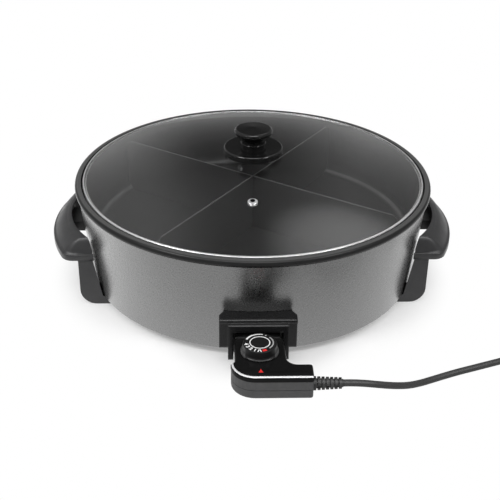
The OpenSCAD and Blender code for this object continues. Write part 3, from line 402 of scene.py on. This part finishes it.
def hammered_paint(colour):
    """Grey metallic paint with an orange-peel texture."""
    material, tree, shader = new_finish("hammered_paint")
    peel = noise(tree, 520, detail=3.0, roughness=0.6)
    flakes = noise(tree, 1400, detail=2.0)
    vary_colour(tree, shader, flakes, colour, (0.86, 1.14), ends=(0.35, 0.65))
    vary(tree, shader, "Roughness", peel, 0.24, 0.32)
    shader.inputs["Metallic"].default_value = 1.0
    add_bump(tree, shader, peel, strength=0.28, distance=0.0003)
    return material


def clear_glass():
    """Tempered glass with faint smears that lets light through to the pan."""
    material, tree, shader = new_finish("tempered_glass")
    shader.inputs["Base Color"].default_value = (*GLASS_TINT, 1.0)
    shader.inputs["Transmission Weight"].default_value = 1.0
    shader.inputs["IOR"].default_value = 1.5
    smears = noise(tree, 14, detail=5.0)
    vary(tree, shader, "Roughness", smears, 0.0, 0.03, ends=(0.4, 0.8))
    see_through = tree.nodes.new("ShaderNodeBsdfTransparent")
    see_through.inputs["Color"].default_value = (*GLASS_SHADOW, 1.0)
    in_shadow = tree.nodes.new("ShaderNodeLightPath").outputs["Is Shadow Ray"]
    show(tree, mix_shaders(tree, in_shadow, shader.outputs["BSDF"], see_through.outputs["BSDF"]))
    return material


def worn_metal(name, colour, rough, stretch=None, wear=0.12):
    """Bare metal with faint brushing and handling marks."""
    material, tree, shader = new_finish(name)
    vary_colour(tree, shader, noise(tree, 60, stretch=stretch), colour, (0.9, 1.06))
    marks = noise(tree, 300, detail=4.0, stretch=stretch)
    vary(tree, shader, "Roughness", marks, rough * 0.75, rough * 1.3)
    shader.inputs["Metallic"].default_value = 1.0
    add_bump(tree, shader, marks, strength=wear, distance=0.0001)
    return material


def polished_steel(name):
    """Bright steel of the lid, with little wear."""
    return worn_metal(name, BRIGHT_STEEL, rough=0.38, wear=0.02)


def eyelet_steel():
    """Steel of the vent, with painted shade in its bore."""
    material = polished_steel("eyelet_steel")
    tree = material.node_tree
    in_plan = vector_node(tree, "MULTIPLY", place_in_object(tree), (1.0, 1.0, 0.0))
    away = vector_node(tree, "DISTANCE", in_plan.outputs["Vector"], VENT_AXIS)
    outside = compute(tree, "GREATER_THAN", away.outputs["Value"], VENT_BORE)
    scale_colour(tree, compute(tree, "MAXIMUM", outside, VENT_BORE_PAINTED_SHADE))
    return material


def polished_black(name, colour, rough, specular):
    """Polished black moulding with faint smears."""
    material, tree, shader = new_finish(name)
    vary_colour(tree, shader, noise(tree, 30), colour, (0.85, 1.2))
    smears = noise(tree, 22, detail=5.0)
    vary(tree, shader, "Roughness", smears, rough, rough * 2.2, ends=(0.35, 0.75))
    shader.inputs["Specular IOR Level"].default_value = specular
    add_bump(tree, shader, noise(tree, 90), strength=0.05, distance=0.0002)
    return material


def grip_sheen_black(colour, grip_sheen_colour):
    """Black dial with a painted reflection of the side lights: lighter grey grips at its two sides,
    below its top.
    """
    material, tree, shader = new_finish("dial_black")
    across, _, high = axes(tree, place_in_object(tree))
    aside = compute(tree, "ABSOLUTE", compute(tree, "SUBTRACT", across, DIAL_AXIS.x))
    outside = compute(tree, "GREATER_THAN", aside, DIAL_GRIP_SHEEN_OFFSET)
    below = compute(tree, "LESS_THAN", high, DIAL_HIGH.z - DIAL_EDGE)
    grip_sheen = compute(tree, "MULTIPLY", outside, below)
    vary(tree, shader, "Base Color", grip_sheen, colour, grip_sheen_colour, ends=(0.0, 1.0))
    vary(tree, shader, "Roughness", noise(tree, 400), 0.3, 0.38)
    shader.inputs["Specular IOR Level"].default_value = 0.25
    add_bump(tree, shader, noise(tree, 1500), strength=0.2, distance=0.00008)
    return material


def print_ink(name, colour):
    """Printed ink with a slightly uneven cover."""
    material, tree, shader = new_finish(name)
    vary_colour(tree, shader, noise(tree, 900), colour, (0.88, 1.0))
    vary(tree, shader, "Roughness", noise(tree, 500), 0.4, 0.55)
    return material


def highlight_silver_line(colour):
    """Thin satin silver paint for a painted highlight."""
    material, tree, shader = new_finish("highlight_silver_line")
    vary_colour(tree, shader, noise(tree, 400), colour, (0.94, 1.03))
    vary(tree, shader, "Roughness", noise(tree, 700), 0.3, 0.42)
    shader.inputs["Metallic"].default_value = 0.2
    return material


def soft_shading(degrees):
    """Node group that shades a faceted form as one smooth face up to an edge angle."""
    group = bpy.data.node_groups.new("soft_shading", "GeometryNodeTree")
    for way in ("INPUT", "OUTPUT"):
        group.interface.new_socket("Geometry", in_out=way, socket_type="NodeSocketGeometry")
    nodes = group.nodes
    source = nodes.new("NodeGroupInput")
    weld = nodes.new("GeometryNodeMergeByDistance")
    weld.inputs["Distance"].default_value = WELD
    plain = nodes.new("GeometryNodeRemoveAttribute")
    plain.inputs["Name"].default_value = "custom_normal"
    faces = nodes.new("GeometryNodeSetShadeSmooth")
    angle = nodes.new("GeometryNodeInputMeshEdgeAngle")
    steep = nodes.new("FunctionNodeCompare")
    steep.inputs["B"].default_value = math.radians(degrees)
    edges = nodes.new("GeometryNodeSetShadeSmooth")
    edges.domain = "EDGE"
    edges.inputs["Shade Smooth"].default_value = False
    target = nodes.new("NodeGroupOutput")
    chain = [source, weld, plain, faces, edges, target]
    for first, second in zip(chain, chain[1:]):
        group.links.new(first.outputs[0], second.inputs[0])
    group.links.new(angle.outputs["Unsigned Angle"], steep.inputs["A"])
    group.links.new(steep.outputs["Result"], edges.inputs["Selection"])
    return group


def soften(names, degrees):
    """Shades faceted CAD nodes smoothly up to an edge angle."""
    group = soft_shading(degrees)
    for name in names:
        NODES[name].modifiers.new("soft_shading", "NODES").node_group = group


def dress(material, *names):
    """Gives CAD nodes a finish."""
    for name in names:
        node = NODES[name]
        node.data.materials.clear()
        node.data.materials.append(material)


def link(piece, body, material):
    """Puts a new piece in the scene, on a body, with a finish."""
    bpy.context.scene.collection.objects.link(piece)
    piece.data.materials.append(material)
    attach(piece, body)


def smooth_step(value):
    """Eases from 0 to 1."""
    value = max(0.0, min(1.0, value))
    return value * value * (3 - 2 * value)


def heading(angle):
    """Level direction at an angle from the x axis."""
    return Vector((math.cos(angle), math.sin(angle), 0))


def lead_points(diameter):
    """Centre line of the whole lead: free run, coil and tail."""
    low = diameter / 2 + LEAD_LIFT
    route = [
        Vector((RELIEF_END.x + x * MM, RELIEF_END.y + y * MM, low + (RELIEF_END.z - low) * share))
        for x, y, share in LEAD_RUN
    ]
    way = route[-1] - route[-2]
    start = math.atan2(way.y, way.x) - math.pi / 2
    turns = COIL_LAST / COIL_STEPS
    pitch = diameter + COIL_PITCH_GAP
    layer = diameter + COIL_LAYER_GAP
    centre = route[-1] - (COIL_INNER + pitch * turns / 2) * heading(start)
    coil = []
    for step in range(COIL_LAST + 1):
        turn = step / COIL_STEPS
        offset = turn - turns / 2
        radius = COIL_INNER + pitch * abs(offset)
        # Climbs to the upper layer within half a turn
        height = layer * smooth_step(2 * offset + 0.5)
        coil.append(centre + radius * heading(start + 2 * math.pi * turn) + Vector((0, 0, height)))
    ahead = heading(start + 2 * math.pi * turns + math.pi / 2)
    tail_start = coil[-1] + diameter * ahead
    plug_low, plug_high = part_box("plug_body")
    rise = (plug_low.z + plug_high.z) / 2 - tail_start.z
    tail = []
    for step in range(TAIL_STEPS + 1):
        part = step / TAIL_STEPS
        climb = Vector((0, 0, rise * smooth_step(part)))
        tail.append(tail_start + TAIL_LENGTH * part * ahead + climb)
    return route + coil[1:] + tail


class GRILL_OT_lead(bpy.types.Operator):
    """Draw the mains lead as one round curve from the strain relief to the plug"""

    bl_idname = "grill.lead"
    bl_label = "Mains Lead"

    # Points that Blender adds round the sheath and between the route's points
    smoothness = 6

    def execute(self, context):
        diameter = context.scene.grill_lead.diameter
        points = lead_points(diameter)
        curve = bpy.data.curves.new("mains_lead", "CURVE")
        curve.dimensions = "3D"
        curve.bevel_depth = diameter / 2
        curve.bevel_resolution = self.smoothness
        curve.resolution_u = self.smoothness
        curve.use_fill_caps = True
        spline = curve.splines.new("BEZIER")
        spline.bezier_points.add(len(points) - 1)
        for knot, point in zip(spline.bezier_points, points):
            knot.co = point
            knot.handle_left_type = "AUTO"
            knot.handle_right_type = "AUTO"
        lead = bpy.data.objects.new("mains_lead", curve)
        sheath = mottled(
            "lead_sheath", SHEATH_BLACK, spread=0.15, scale=40, rough=(0.42, 0.55),
            grain=(900, 0.0001),
        )
        link(lead, "control", sheath)
        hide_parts("mains_cord", "cord_coil", "plug_tail")
        dress(sheath, "strain_relief", "coil_tie")
        return {"FINISHED"}


def flat_piece(name, outlines, height, thickness):
    """Thin raised print from closed outlines of (x, y) points."""
    mesh = bpy.data.meshes.new(name)
    work = bmesh.new()
    for outline in outlines:
        low = [work.verts.new((x, y, height)) for x, y in outline]
        high = [work.verts.new((x, y, height + thickness)) for x, y in outline]
        count = len(outline)
        for i in range(count):
            j = (i + 1) % count
            work.faces.new((low[i], low[j], high[j], high[i]))
        work.faces.new(high)
        work.faces.new(list(reversed(low)))
    bmesh.ops.triangulate(work, faces=[face for face in work.faces if len(face.verts) > 4])
    work.to_mesh(mesh)
    work.free()
    return bpy.data.objects.new(name, mesh)


def band(radius, width, start, end, steps=40, taper=1.0):
    """Quads along an arc about the dial's middle, in clockwise degrees from the back."""
    quads = []
    for i in range(steps):
        ends = []
        for k in (i, i + 1):
            part = k / steps
            angle = math.radians(90 - (start + (end - start) * part))
            half = width / 2 * (1 + (taper - 1) * part)
            sides = (radius - half, radius + half)
            ends.append([(side * math.cos(angle), side * math.sin(angle)) for side in sides])
        quads.append([ends[0][0], ends[1][0], ends[1][1], ends[0][1]])
    return quads


def about_dial(outlines):
    """Moves outlines to the dial's axis."""
    return [[(x + DIAL_AXIS.x, y + DIAL_AXIS.y) for x, y in outline] for outline in outlines]


class GRILL_OT_dial_marks(bpy.types.Operator):
    """Print the scale on the dial: ring, arcs, numbers and zero mark"""

    bl_idname = "grill.dial_marks"
    bl_label = "Dial Marks"

    depth = 0.00012
    scale_radius = 13.8 * MM
    # Brightness of the faint print beside the plain print
    faintness = 0.42
    # Arrow beside the zero mark: degrees, length and stroke, then how far its strokes stand off its
    # middle line, at its point as a share of the stroke and at its feet as a share of the length
    arrow_at = 183
    arrow_size = 4.0 * MM
    arrow_stroke = 1.2 * MM
    arrow_point = 0.3
    arrow_feet = 0.42
    # Numbers: degrees of each, size and added stroke
    numbers = {"1": 202, "2": 221, "3": 240, "4": 259}
    number_size = 5.6 * MM
    number_weight = 0.26 * MM

    def execute(self, context):
        marks = context.scene.grill_marks
        white = print_ink("dial_print", marks.print_colour)
        faint = print_ink("dial_print_faint", tint(marks.print_colour, self.faintness))
        red = print_ink("dial_zero", marks.zero_colour)
        top = DIAL_HIGH.z + PRINT_LIFT
        ring = band(radius=9.8 * MM, width=1.0 * MM, start=0, end=360, steps=72)
        arc = band(radius=14.0 * MM, width=1.9 * MM, start=-68, end=14, taper=0.5)
        tick = band(radius=13.4 * MM, width=1.8 * MM, start=25, end=31, steps=3)
        faint_arc = band(radius=13.2 * MM, width=1.3 * MM, start=48, end=138)
        zero = band(radius=self.scale_radius, width=3.0 * MM, start=154, end=171, steps=6)
        shapes = {
            "dial_ring": (white, ring),
            "dial_arc": (white, arc),
            "dial_tick": (faint, tick),
            "dial_arc_faint": (faint, faint_arc),
            "dial_zero": (red, zero),
            "dial_off_mark": (white, self.arrow()),
        }
        for name, (ink, outlines) in shapes.items():
            piece = flat_piece(name, about_dial(outlines), top, self.depth)
            link(piece, "dial", ink)
        for number, degrees in self.numbers.items():
            link(self.digit(number, degrees, top), "dial", white)
        return {"FINISHED"}

    def arrow(self):
        """Two strokes that meet in a point towards the dial's middle."""
        size, stroke = self.arrow_size, self.arrow_stroke
        outward = heading(math.radians(90 - self.arrow_at)).to_2d()
        across = Vector((-outward.y, outward.x))
        strokes = []
        for side in (-1, 1):
            aside = across * side
            point = outward * (self.scale_radius - size / 2) + aside * stroke * self.arrow_point
            foot = outward * (self.scale_radius + size / 2) + aside * size * self.arrow_feet
            half = across * stroke / 2
            corners = (point - half, foot - half, foot + half, point + half)
            strokes.append([tuple(corner) for corner in corners])
        return strokes

    def digit(self, text, degrees, top):
        """One number of the scale, its head towards the dial's middle."""
        letters = bpy.data.curves.new("dial_number_" + text, "FONT")
        letters.body = text
        letters.size = self.number_size
        letters.align_x = "CENTER"
        letters.align_y = "CENTER"
        letters.extrude = self.depth / 2
        letters.offset = self.number_weight
        piece = bpy.data.objects.new("dial_number_" + text, letters)
        angle = math.radians(90 - degrees)
        spot = DIAL_AXIS + self.scale_radius * heading(angle) + Vector((0, 0, top + self.depth / 2))
        piece.matrix_world = Matrix.Translation(spot) @ Matrix.Rotation(angle + math.pi / 2, 4, "Z")
        return piece


class GRILL_OT_pointer(bpy.types.Operator):
    """Print the pointer on the control's cover, in front of the dial"""

    bl_idname = "grill.pointer"
    bl_label = "Pointer"

    depth = 0.0001
    # Way in from the cover's front, and half the width as a share of the length
    inset = 8.5 * MM
    slope = 0.42

    def execute(self, context):
        marks = context.scene.grill_marks
        size = marks.pointer_size
        front = COVER_LOW.y + self.inset
        outline = [(-size * self.slope, front), (size * self.slope, front), (0, front + size)]
        piece = flat_piece("dial_pointer", [outline], COVER_HIGH.z + PRINT_LIFT, self.depth)
        link(piece, "control", print_ink("pointer_red", marks.zero_colour))
        return {"FINISHED"}


class GRILL_OT_cover_highlight_line(bpy.types.Operator):
    """Lay a painted highlight along the front edge of the control's cover, as a bright silver line
    """

    bl_idname = "grill.cover_line"
    bl_label = "Cover Line"

    nose_radius = 24.0 * MM
    arm_inset = 1.2 * MM
    steps = 24
    # Section of the line on the rounded edge: way in from the outline, depth below the cover's top
    section = ((0.80 * MM, 0.82 * MM), (1.73 * MM, 0.20 * MM), (2.55 * MM, 0.04 * MM))
    lift = 0.05 * MM
    depth = 0.15 * MM

    def execute(self, context):
        mesh = bpy.data.meshes.new("cover_line")
        work = bmesh.new()
        rings = []
        for place, outward in self.stations():
            ring = []
            for raised, order in ((self.lift, 1), (self.lift - self.depth, -1)):
                for inset, drop in self.section[::order]:
                    spot = place - outward * inset
                    ring.append(work.verts.new((spot.x, spot.y, COVER_HIGH.z - drop + raised)))
            rings.append(ring)
        for first, second in zip(rings, rings[1:]):
            for i in range(len(first)):
                j = (i + 1) % len(first)
                work.faces.new((first[i], first[j], second[j], second[i]))
        # Two faces close the six-sided section at each end
        for ring in (rings[0][::-1], rings[-1]):
            work.faces.new((ring[0], ring[1], ring[4], ring[5]))
            work.faces.new((ring[1], ring[2], ring[3], ring[4]))
        bmesh.ops.recalc_face_normals(work, faces=work.faces)
        work.to_mesh(mesh)
        work.free()
        piece = bpy.data.objects.new("cover_line", mesh)
        paint = highlight_silver_line(context.scene.grill_marks.highlight_line_colour)
        link(piece, "control", paint)
        return {"FINISHED"}

    def stations(self):
        """Points of the cover's front outline with their outward directions."""
        centre = Vector((COVER_LOW.x + self.nose_radius, COVER_LOW.y + self.nose_radius))
        for step in range(self.steps + 1):
            outward = heading(math.pi * (1 + step / self.steps / 2)).to_2d()
            yield centre + self.nose_radius * outward, outward
        yield Vector((COVER_HIGH.x - self.arm_inset, COVER_LOW.y)), Vector((0.0, -1.0))


class GRILL_OT_body_finishes(bpy.types.Operator):
    """Finish the pan, jacket, dividers, handles and guard"""

    bl_idname = "grill.body_finishes"
    bl_label = "Body Finishes"

    # Depth of the lighter band along the dividers' top edge
    pale_edge_depth = 0.7 * MM
    # Brightness of the dividers' coat beside the pan's, and of the guard beside the handles
    plate_shade = 1.5
    guard_shade = 0.3

    def execute(self, context):
        settings = context.scene.grill_finish
        dress(pan_coat(settings.coating), "pan")
        plate_colour = tint(settings.coating, self.plate_shade)
        plates = edged_coat(plate_colour, PALE_TOP_EDGE, DIVIDER_HIGH.z, self.pale_edge_depth)
        dress(plates, "divider_long", "divider_cross")
        dress(hammered_paint(settings.paint), "outer_jacket")
        # The handles get painted shade in their hollows
        handles = mottled(
            "moulded_black", settings.moulding, spread=0.12, scale=120, rough=(0.40, 0.48),
            grain=(1600, 0.00012), shade_depth=0.03,
        )
        dress(handles, "left_handle", "right_handle")
        soften(("left_handle", "right_handle"), degrees=60)
        guard = mottled(
            "guard_black", tint(settings.moulding, self.guard_shade), spread=0.12, scale=120,
            rough=(0.16, 0.22), grain=(1600, 0.00006), specular=0.36, edge=0.003,
        )
        dress(guard, "socket_guard")
        return {"FINISHED"}


class GRILL_OT_lid_finishes(bpy.types.Operator):
    """Finish the lid's glass, steel and knob"""

    bl_idname = "grill.lid_finishes"
    bl_label = "Lid Finishes"

    def execute(self, context):
        dress(clear_glass(), "lid_glass")
        dress(polished_steel("polished_steel"), "lid_band")
        dress(eyelet_steel(), "vent_eyelet")
        soften(("lid_band", "vent_eyelet"), degrees=30)
        knob = polished_black("knob_black", KNOB_BLACK, rough=0.08, specular=0.5)
        dress(knob, "lid_knob", "knob_disc")
        return {"FINISHED"}


class GRILL_OT_control_finishes(bpy.types.Operator):
    """Finish the control's case and dial"""

    bl_idname = "grill.control_finishes"
    bl_label = "Control Finishes"

    def execute(self, context):
        settings = context.scene.grill_finish
        cover = polished_black("cover_black", COVER_BLACK, rough=0.10, specular=0.12)
        dress(cover, "control_cover")
        shells = mottled(
            "shell_grey", settings.shell, spread=0.1, scale=150, rough=(0.42, 0.52),
            grain=(1500, 0.00012),
        )
        dress(shells, "control_upper_shell", "control_lower_shell")
        dress(grip_sheen_black(DIAL_BLACK, GRIP_SHEEN_GREY), "temperature_dial")
        soften(("control_cover", "control_lower_shell"), degrees=28)
        return {"FINISHED"}


class GRILL_OT_hidden_finishes(bpy.types.Operator):
    """Finish the metal, ceramic and plug pieces that show from other sides"""

    bl_idname = "grill.hidden_finishes"
    bl_label = "Hidden Finishes"

    brushing = (1.0, 12.0, 1.0)
    # Bare metals: colour, roughness, brushing and nodes
    metals = {
        "plated_sheet": (
            (0.52, 0.52, 0.51), 0.38, brushing, ("base_plate", "knob_washer", "thermostat_frame")
        ),
        "cast_aluminium": ((0.6, 0.61, 0.62), 0.5, None, ("heat_spreader", "probe_block")),
        "heat_darkened_tube": ((0.13, 0.12, 0.11), 0.45, None, ("heating_element",)),
        "plated_pin": ((0.66, 0.66, 0.64), 0.2, None, ("terminal_pins", "probe_rod", "plug_pins")),
        "zinc_screw": (
            (0.5, 0.5, 0.49), 0.35, None,
            ("guard_screws", "handle_screws", "foot_screws", "foot_nuts", "control_screws",
             "knob_screw"),
        ),
        "plain_brass": (
            (0.6, 0.42, 0.15), 0.3, None, ("socket_contacts", "contact_leaves", "dial_spindle")
        ),
    }
    ceramic_white = (0.75, 0.72, 0.66)
    plug_black = (0.022, 0.022, 0.022)

    def execute(self, context):
        for name, (colour, rough, stretch, nodes) in self.metals.items():
            dress(worn_metal(name, colour, rough, stretch), *nodes)
        ceramic = mottled(
            "ceramic", self.ceramic_white, spread=0.06, scale=200, rough=(0.5, 0.65),
            grain=(900, 0.0001),
        )
        dress(ceramic, "terminal_bushes", "ceramic_posts")
        plug = mottled(
            "plug_moulding", self.plug_black, spread=0.15, scale=80, rough=(0.42, 0.52),
            grain=(1200, 0.0001),
        )
        dress(plug, "plug_body")
        return {"FINISHED"}


def soft_box(name, place, target, width, depth, watts):
    """Area lamp that faces a target."""
    lamp = bpy.data.lights.new(name, "AREA")
    lamp.shape = "RECTANGLE"
    lamp.size = width
    lamp.size_y = depth
    lamp.energy = watts
    holder = bpy.data.objects.new(name, lamp)
    holder.location = place
    holder.rotation_euler = (Vector(target) - Vector(place)).to_track_quat("-Z", "Y").to_euler()
    bpy.context.scene.collection.objects.link(holder)


def seen_directly(tree):
    """1 for what the camera, a mirror or glass sees, 0 for light that falls on the object."""
    path = tree.nodes.new("ShaderNodeLightPath")
    seen = path.outputs["Is Camera Ray"]
    for name in ("Is Glossy Ray", "Is Transmission Ray"):
        seen = compute(tree, "MAXIMUM", seen, path.outputs[name])
    return seen


class GRILL_OT_stage(bpy.types.Operator):
    """Set up the floor, the soft lights, the world and the camera"""

    bl_idname = "grill.stage"
    bl_label = "Studio"

    floor_size = 8.0
    floor_gap = 0.0002
    # Distances from the pan's axis, and the share of plain white in the floor at each
    floor_glow = ((0.183, 0.245), (0.12, 1.0))
    # The floor in mirror images: places and what its brightness is multiplied by there, from front
    # to back, outward and from left to right
    mirror_glow = ((-0.32, 0.14), (0.60, 1.55))
    mirror_fade = ((0.45, 0.95), (1.0, 0.2))
    mirror_lean = ((-0.3, 0.3), (1.10, 0.88))
    # The room in mirror images: its brightness by how far a direction points up, then what changes
    # that by how far the direction points back, to either side and to the right
    room_glow = (
        (0.0, 0.22), (0.08, 0.18), (0.2, 0.13), (0.34, 0.08), (0.5, 0.06), (0.75, 0.20), (1.0, 0.25)
    )
    room_fade = ((-0.8, -0.2), (0.15, 1.0))
    room_sides = ((0.05, 0.3), (0.0, 0.29))
    room_lean = ((-0.25, 0.25), (1.15, 0.85))
    # Soft windows of that room: direction, cosines at the edge and core, brightness
    windows = (
        ((0.30, 0.53, 0.80), (0.962, 1.0), 0.85),
        ((0.0, -0.52, 0.85), (0.90, 0.97), 3.0),
    )
    world_fill = 0.48
    # Lamps: place, width, depth and watts
    lamps = {
        "lamp_left": ((-1.15, -0.75, 1.35), 0.6, 0.6, 16.0),
        "lamp_right": ((1.1, -0.75, 1.35), 0.5, 0.6, 11.0),
        "lamp_front": ((0.0, -1.0, 1.7), 1.3, 0.35, 8.0),
    }
    lamp_target = (0, 0, 0.1)
    sensor_width = 36.0

    def execute(self, context):
        self.world(context)
        self.floor(context)
        for name, (place, width, depth, watts) in self.lamps.items():
            soft_box(name, place, self.lamp_target, width, depth, watts)
        self.camera(context)
        context.scene.view_settings.view_transform = "Standard"
        return {"FINISHED"}

    def world(self, context):
        """White behind the object, and a dim room with soft windows in mirror images."""
        world = bpy.data.worlds.new("studio_white")
        context.scene.world = world
        world.use_nodes = True
        tree = world.node_tree
        path = tree.nodes.new("ShaderNodeLightPath")
        bounced = compute(tree, "ADD", path.outputs["Glossy Depth"], path.outputs["Diffuse Depth"])
        seen = blend(tree, compute(tree, "MINIMUM", bounced, 1.0), 1.0, self.room(tree))
        background = tree.nodes["Background"]
        background.inputs["Color"].default_value = (1.0, 1.0, 1.0, 1.0)
        strength = blend(tree, seen_directly(tree), self.world_fill, seen)
        tree.links.new(strength, background.inputs["Strength"])

    def room(self, tree):
        """Brightness of the room that mirror images show."""
        direction = tree.nodes.new("ShaderNodeTexCoord").outputs["Generated"]
        right, back, up = axes(tree, direction)
        above = ramp(tree, up, self.room_glow)
        glow = compute(tree, "MULTIPLY", above, rescale(tree, back, *self.room_fade))
        aside = rescale(tree, compute(tree, "ABSOLUTE", right), *self.room_sides)
        glow = compute(tree, "ADD", glow, aside)
        glow = compute(tree, "MULTIPLY", glow, rescale(tree, right, *self.room_lean))
        for way, edges, light in self.windows:
            facing = vector_node(tree, "DOT_PRODUCT", direction, Vector(way).normalized())
            shine = rescale(tree, facing.outputs["Value"], edges, (0.0, light))
            glow = compute(tree, "ADD", glow, shine)
        return glow

    def floor(self, context):
        """Sheet that the object stands on."""
        half = self.floor_size / 2
        mesh = bpy.data.meshes.new("floor")
        corners = [(-half, -half, 0), (half, -half, 0), (half, half, 0), (-half, half, 0)]
        mesh.from_pydata(corners, [], [(0, 1, 2, 3)])
        mesh.materials.append(self.floor_finish())
        piece = bpy.data.objects.new("floor", mesh)
        piece.location = PAN_CENTRE - Vector((0, 0, self.floor_gap))
        context.scene.collection.objects.link(piece)

    def floor_finish(self):
        """White that keeps the soft shadow under the object, and is clear from below."""
        material, tree, shader = new_finish("studio_floor")
        vary(tree, shader, "Base Color", noise(tree, 3), 0.87, 0.89)
        shader.inputs["Roughness"].default_value = 0.9
        shader.inputs["Specular IOR Level"].default_value = 0.1
        distance = vector_node(tree, "LENGTH", place_in_object(tree)).outputs["Value"]
        right, back, _ = axes(tree, place_in_object(tree))
        lit = rescale(tree, back, *self.mirror_glow)
        lit = compute(tree, "MULTIPLY", lit, rescale(tree, distance, *self.mirror_fade))
        lit = compute(tree, "MULTIPLY", lit, rescale(tree, right, *self.mirror_lean))
        mirrored = tree.nodes.new("ShaderNodeLightPath").outputs["Is Glossy Ray"]
        glow = tree.nodes.new("ShaderNodeEmission")
        tree.links.new(blend(tree, mirrored, 1.0, lit), glow.inputs["Strength"])
        white = rescale(tree, distance, *self.floor_glow)
        plain = compute(tree, "MULTIPLY", seen_directly(tree), white)
        share = compute(tree, "MAXIMUM", plain, mirrored)
        top = mix_shaders(tree, share, shader.outputs["BSDF"], glow.outputs["Emission"])
        below = tree.nodes.new("ShaderNodeNewGeometry").outputs["Backfacing"]
        clear = tree.nodes.new("ShaderNodeBsdfTransparent").outputs["BSDF"]
        show(tree, mix_shaders(tree, below, top, clear))
        return material

    def camera(self, context):
        """Camera at the viewing angle of the product picture."""
        stage = context.scene.grill_stage
        data = bpy.data.cameras.new("studio_camera")
        data.lens = stage.camera_lens
        data.sensor_width = self.sensor_width
        holder = bpy.data.objects.new("studio_camera", data)
        holder.matrix_world = (
            Matrix.Translation(stage.camera_place)
            @ Matrix.Rotation(stage.camera_yaw, 4, "Z")
            @ Matrix.Rotation(math.pi / 2 - stage.camera_pitch, 4, "X")
            @ Matrix.Rotation(stage.camera_roll, 4, "Z")
        )
        context.scene.collection.objects.link(holder)
        context.scene.camera = holder


class GRILL_PT_panel(bpy.types.Panel):
    """Lists the steps that dress the grill pan"""

    bl_idname = "GRILL_PT_panel"
    bl_label = "Grill Pan"
    bl_space_type = "VIEW_3D"
    bl_region_type = "UI"
    bl_category = "Grill Pan"

    def draw(self, context):
        for group in GROUPS:
            settings = getattr(context.scene, group)
            for name in settings.__annotations__:
                self.layout.prop(settings, name)
        for operator in OPERATORS:
            self.layout.operator(operator.bl_idname)


OPERATORS = (
    GRILL_OT_stage,
    GRILL_OT_lead,
    GRILL_OT_dial_marks,
    GRILL_OT_pointer,
    GRILL_OT_cover_highlight_line,
    GRILL_OT_body_finishes,
    GRILL_OT_lid_finishes,
    GRILL_OT_control_finishes,
    GRILL_OT_hidden_finishes,
)
GROUPS = {
    "grill_lead": LeadSettings,
    "grill_marks": MarkSettings,
    "grill_finish": FinishSettings,
    "grill_stage": StageSettings,
}


def register():
    for name, group in GROUPS.items():
        bpy.utils.register_class(group)
        setattr(bpy.types.Scene, name, PointerProperty(type=group))
    for operator in OPERATORS:
        bpy.utils.register_class(operator)
    bpy.utils.register_class(GRILL_PT_panel)


def unregister():
    bpy.utils.unregister_class(GRILL_PT_panel)
    for operator in reversed(OPERATORS):
        bpy.utils.unregister_class(operator)
    for name, group in GROUPS.items():
        delattr(bpy.types.Scene, name)
        bpy.utils.unregister_class(group)


def main():
    register()
    bpy.ops.grill.stage()
    bpy.ops.grill.lead()
    bpy.ops.grill.dial_marks()
    bpy.ops.grill.pointer()
    bpy.ops.grill.cover_line()
    bpy.ops.grill.body_finishes()
    bpy.ops.grill.lid_finishes()
    bpy.ops.grill.control_finishes()
    bpy.ops.grill.hidden_finishes()


if __name__ == "__main__":
    main()
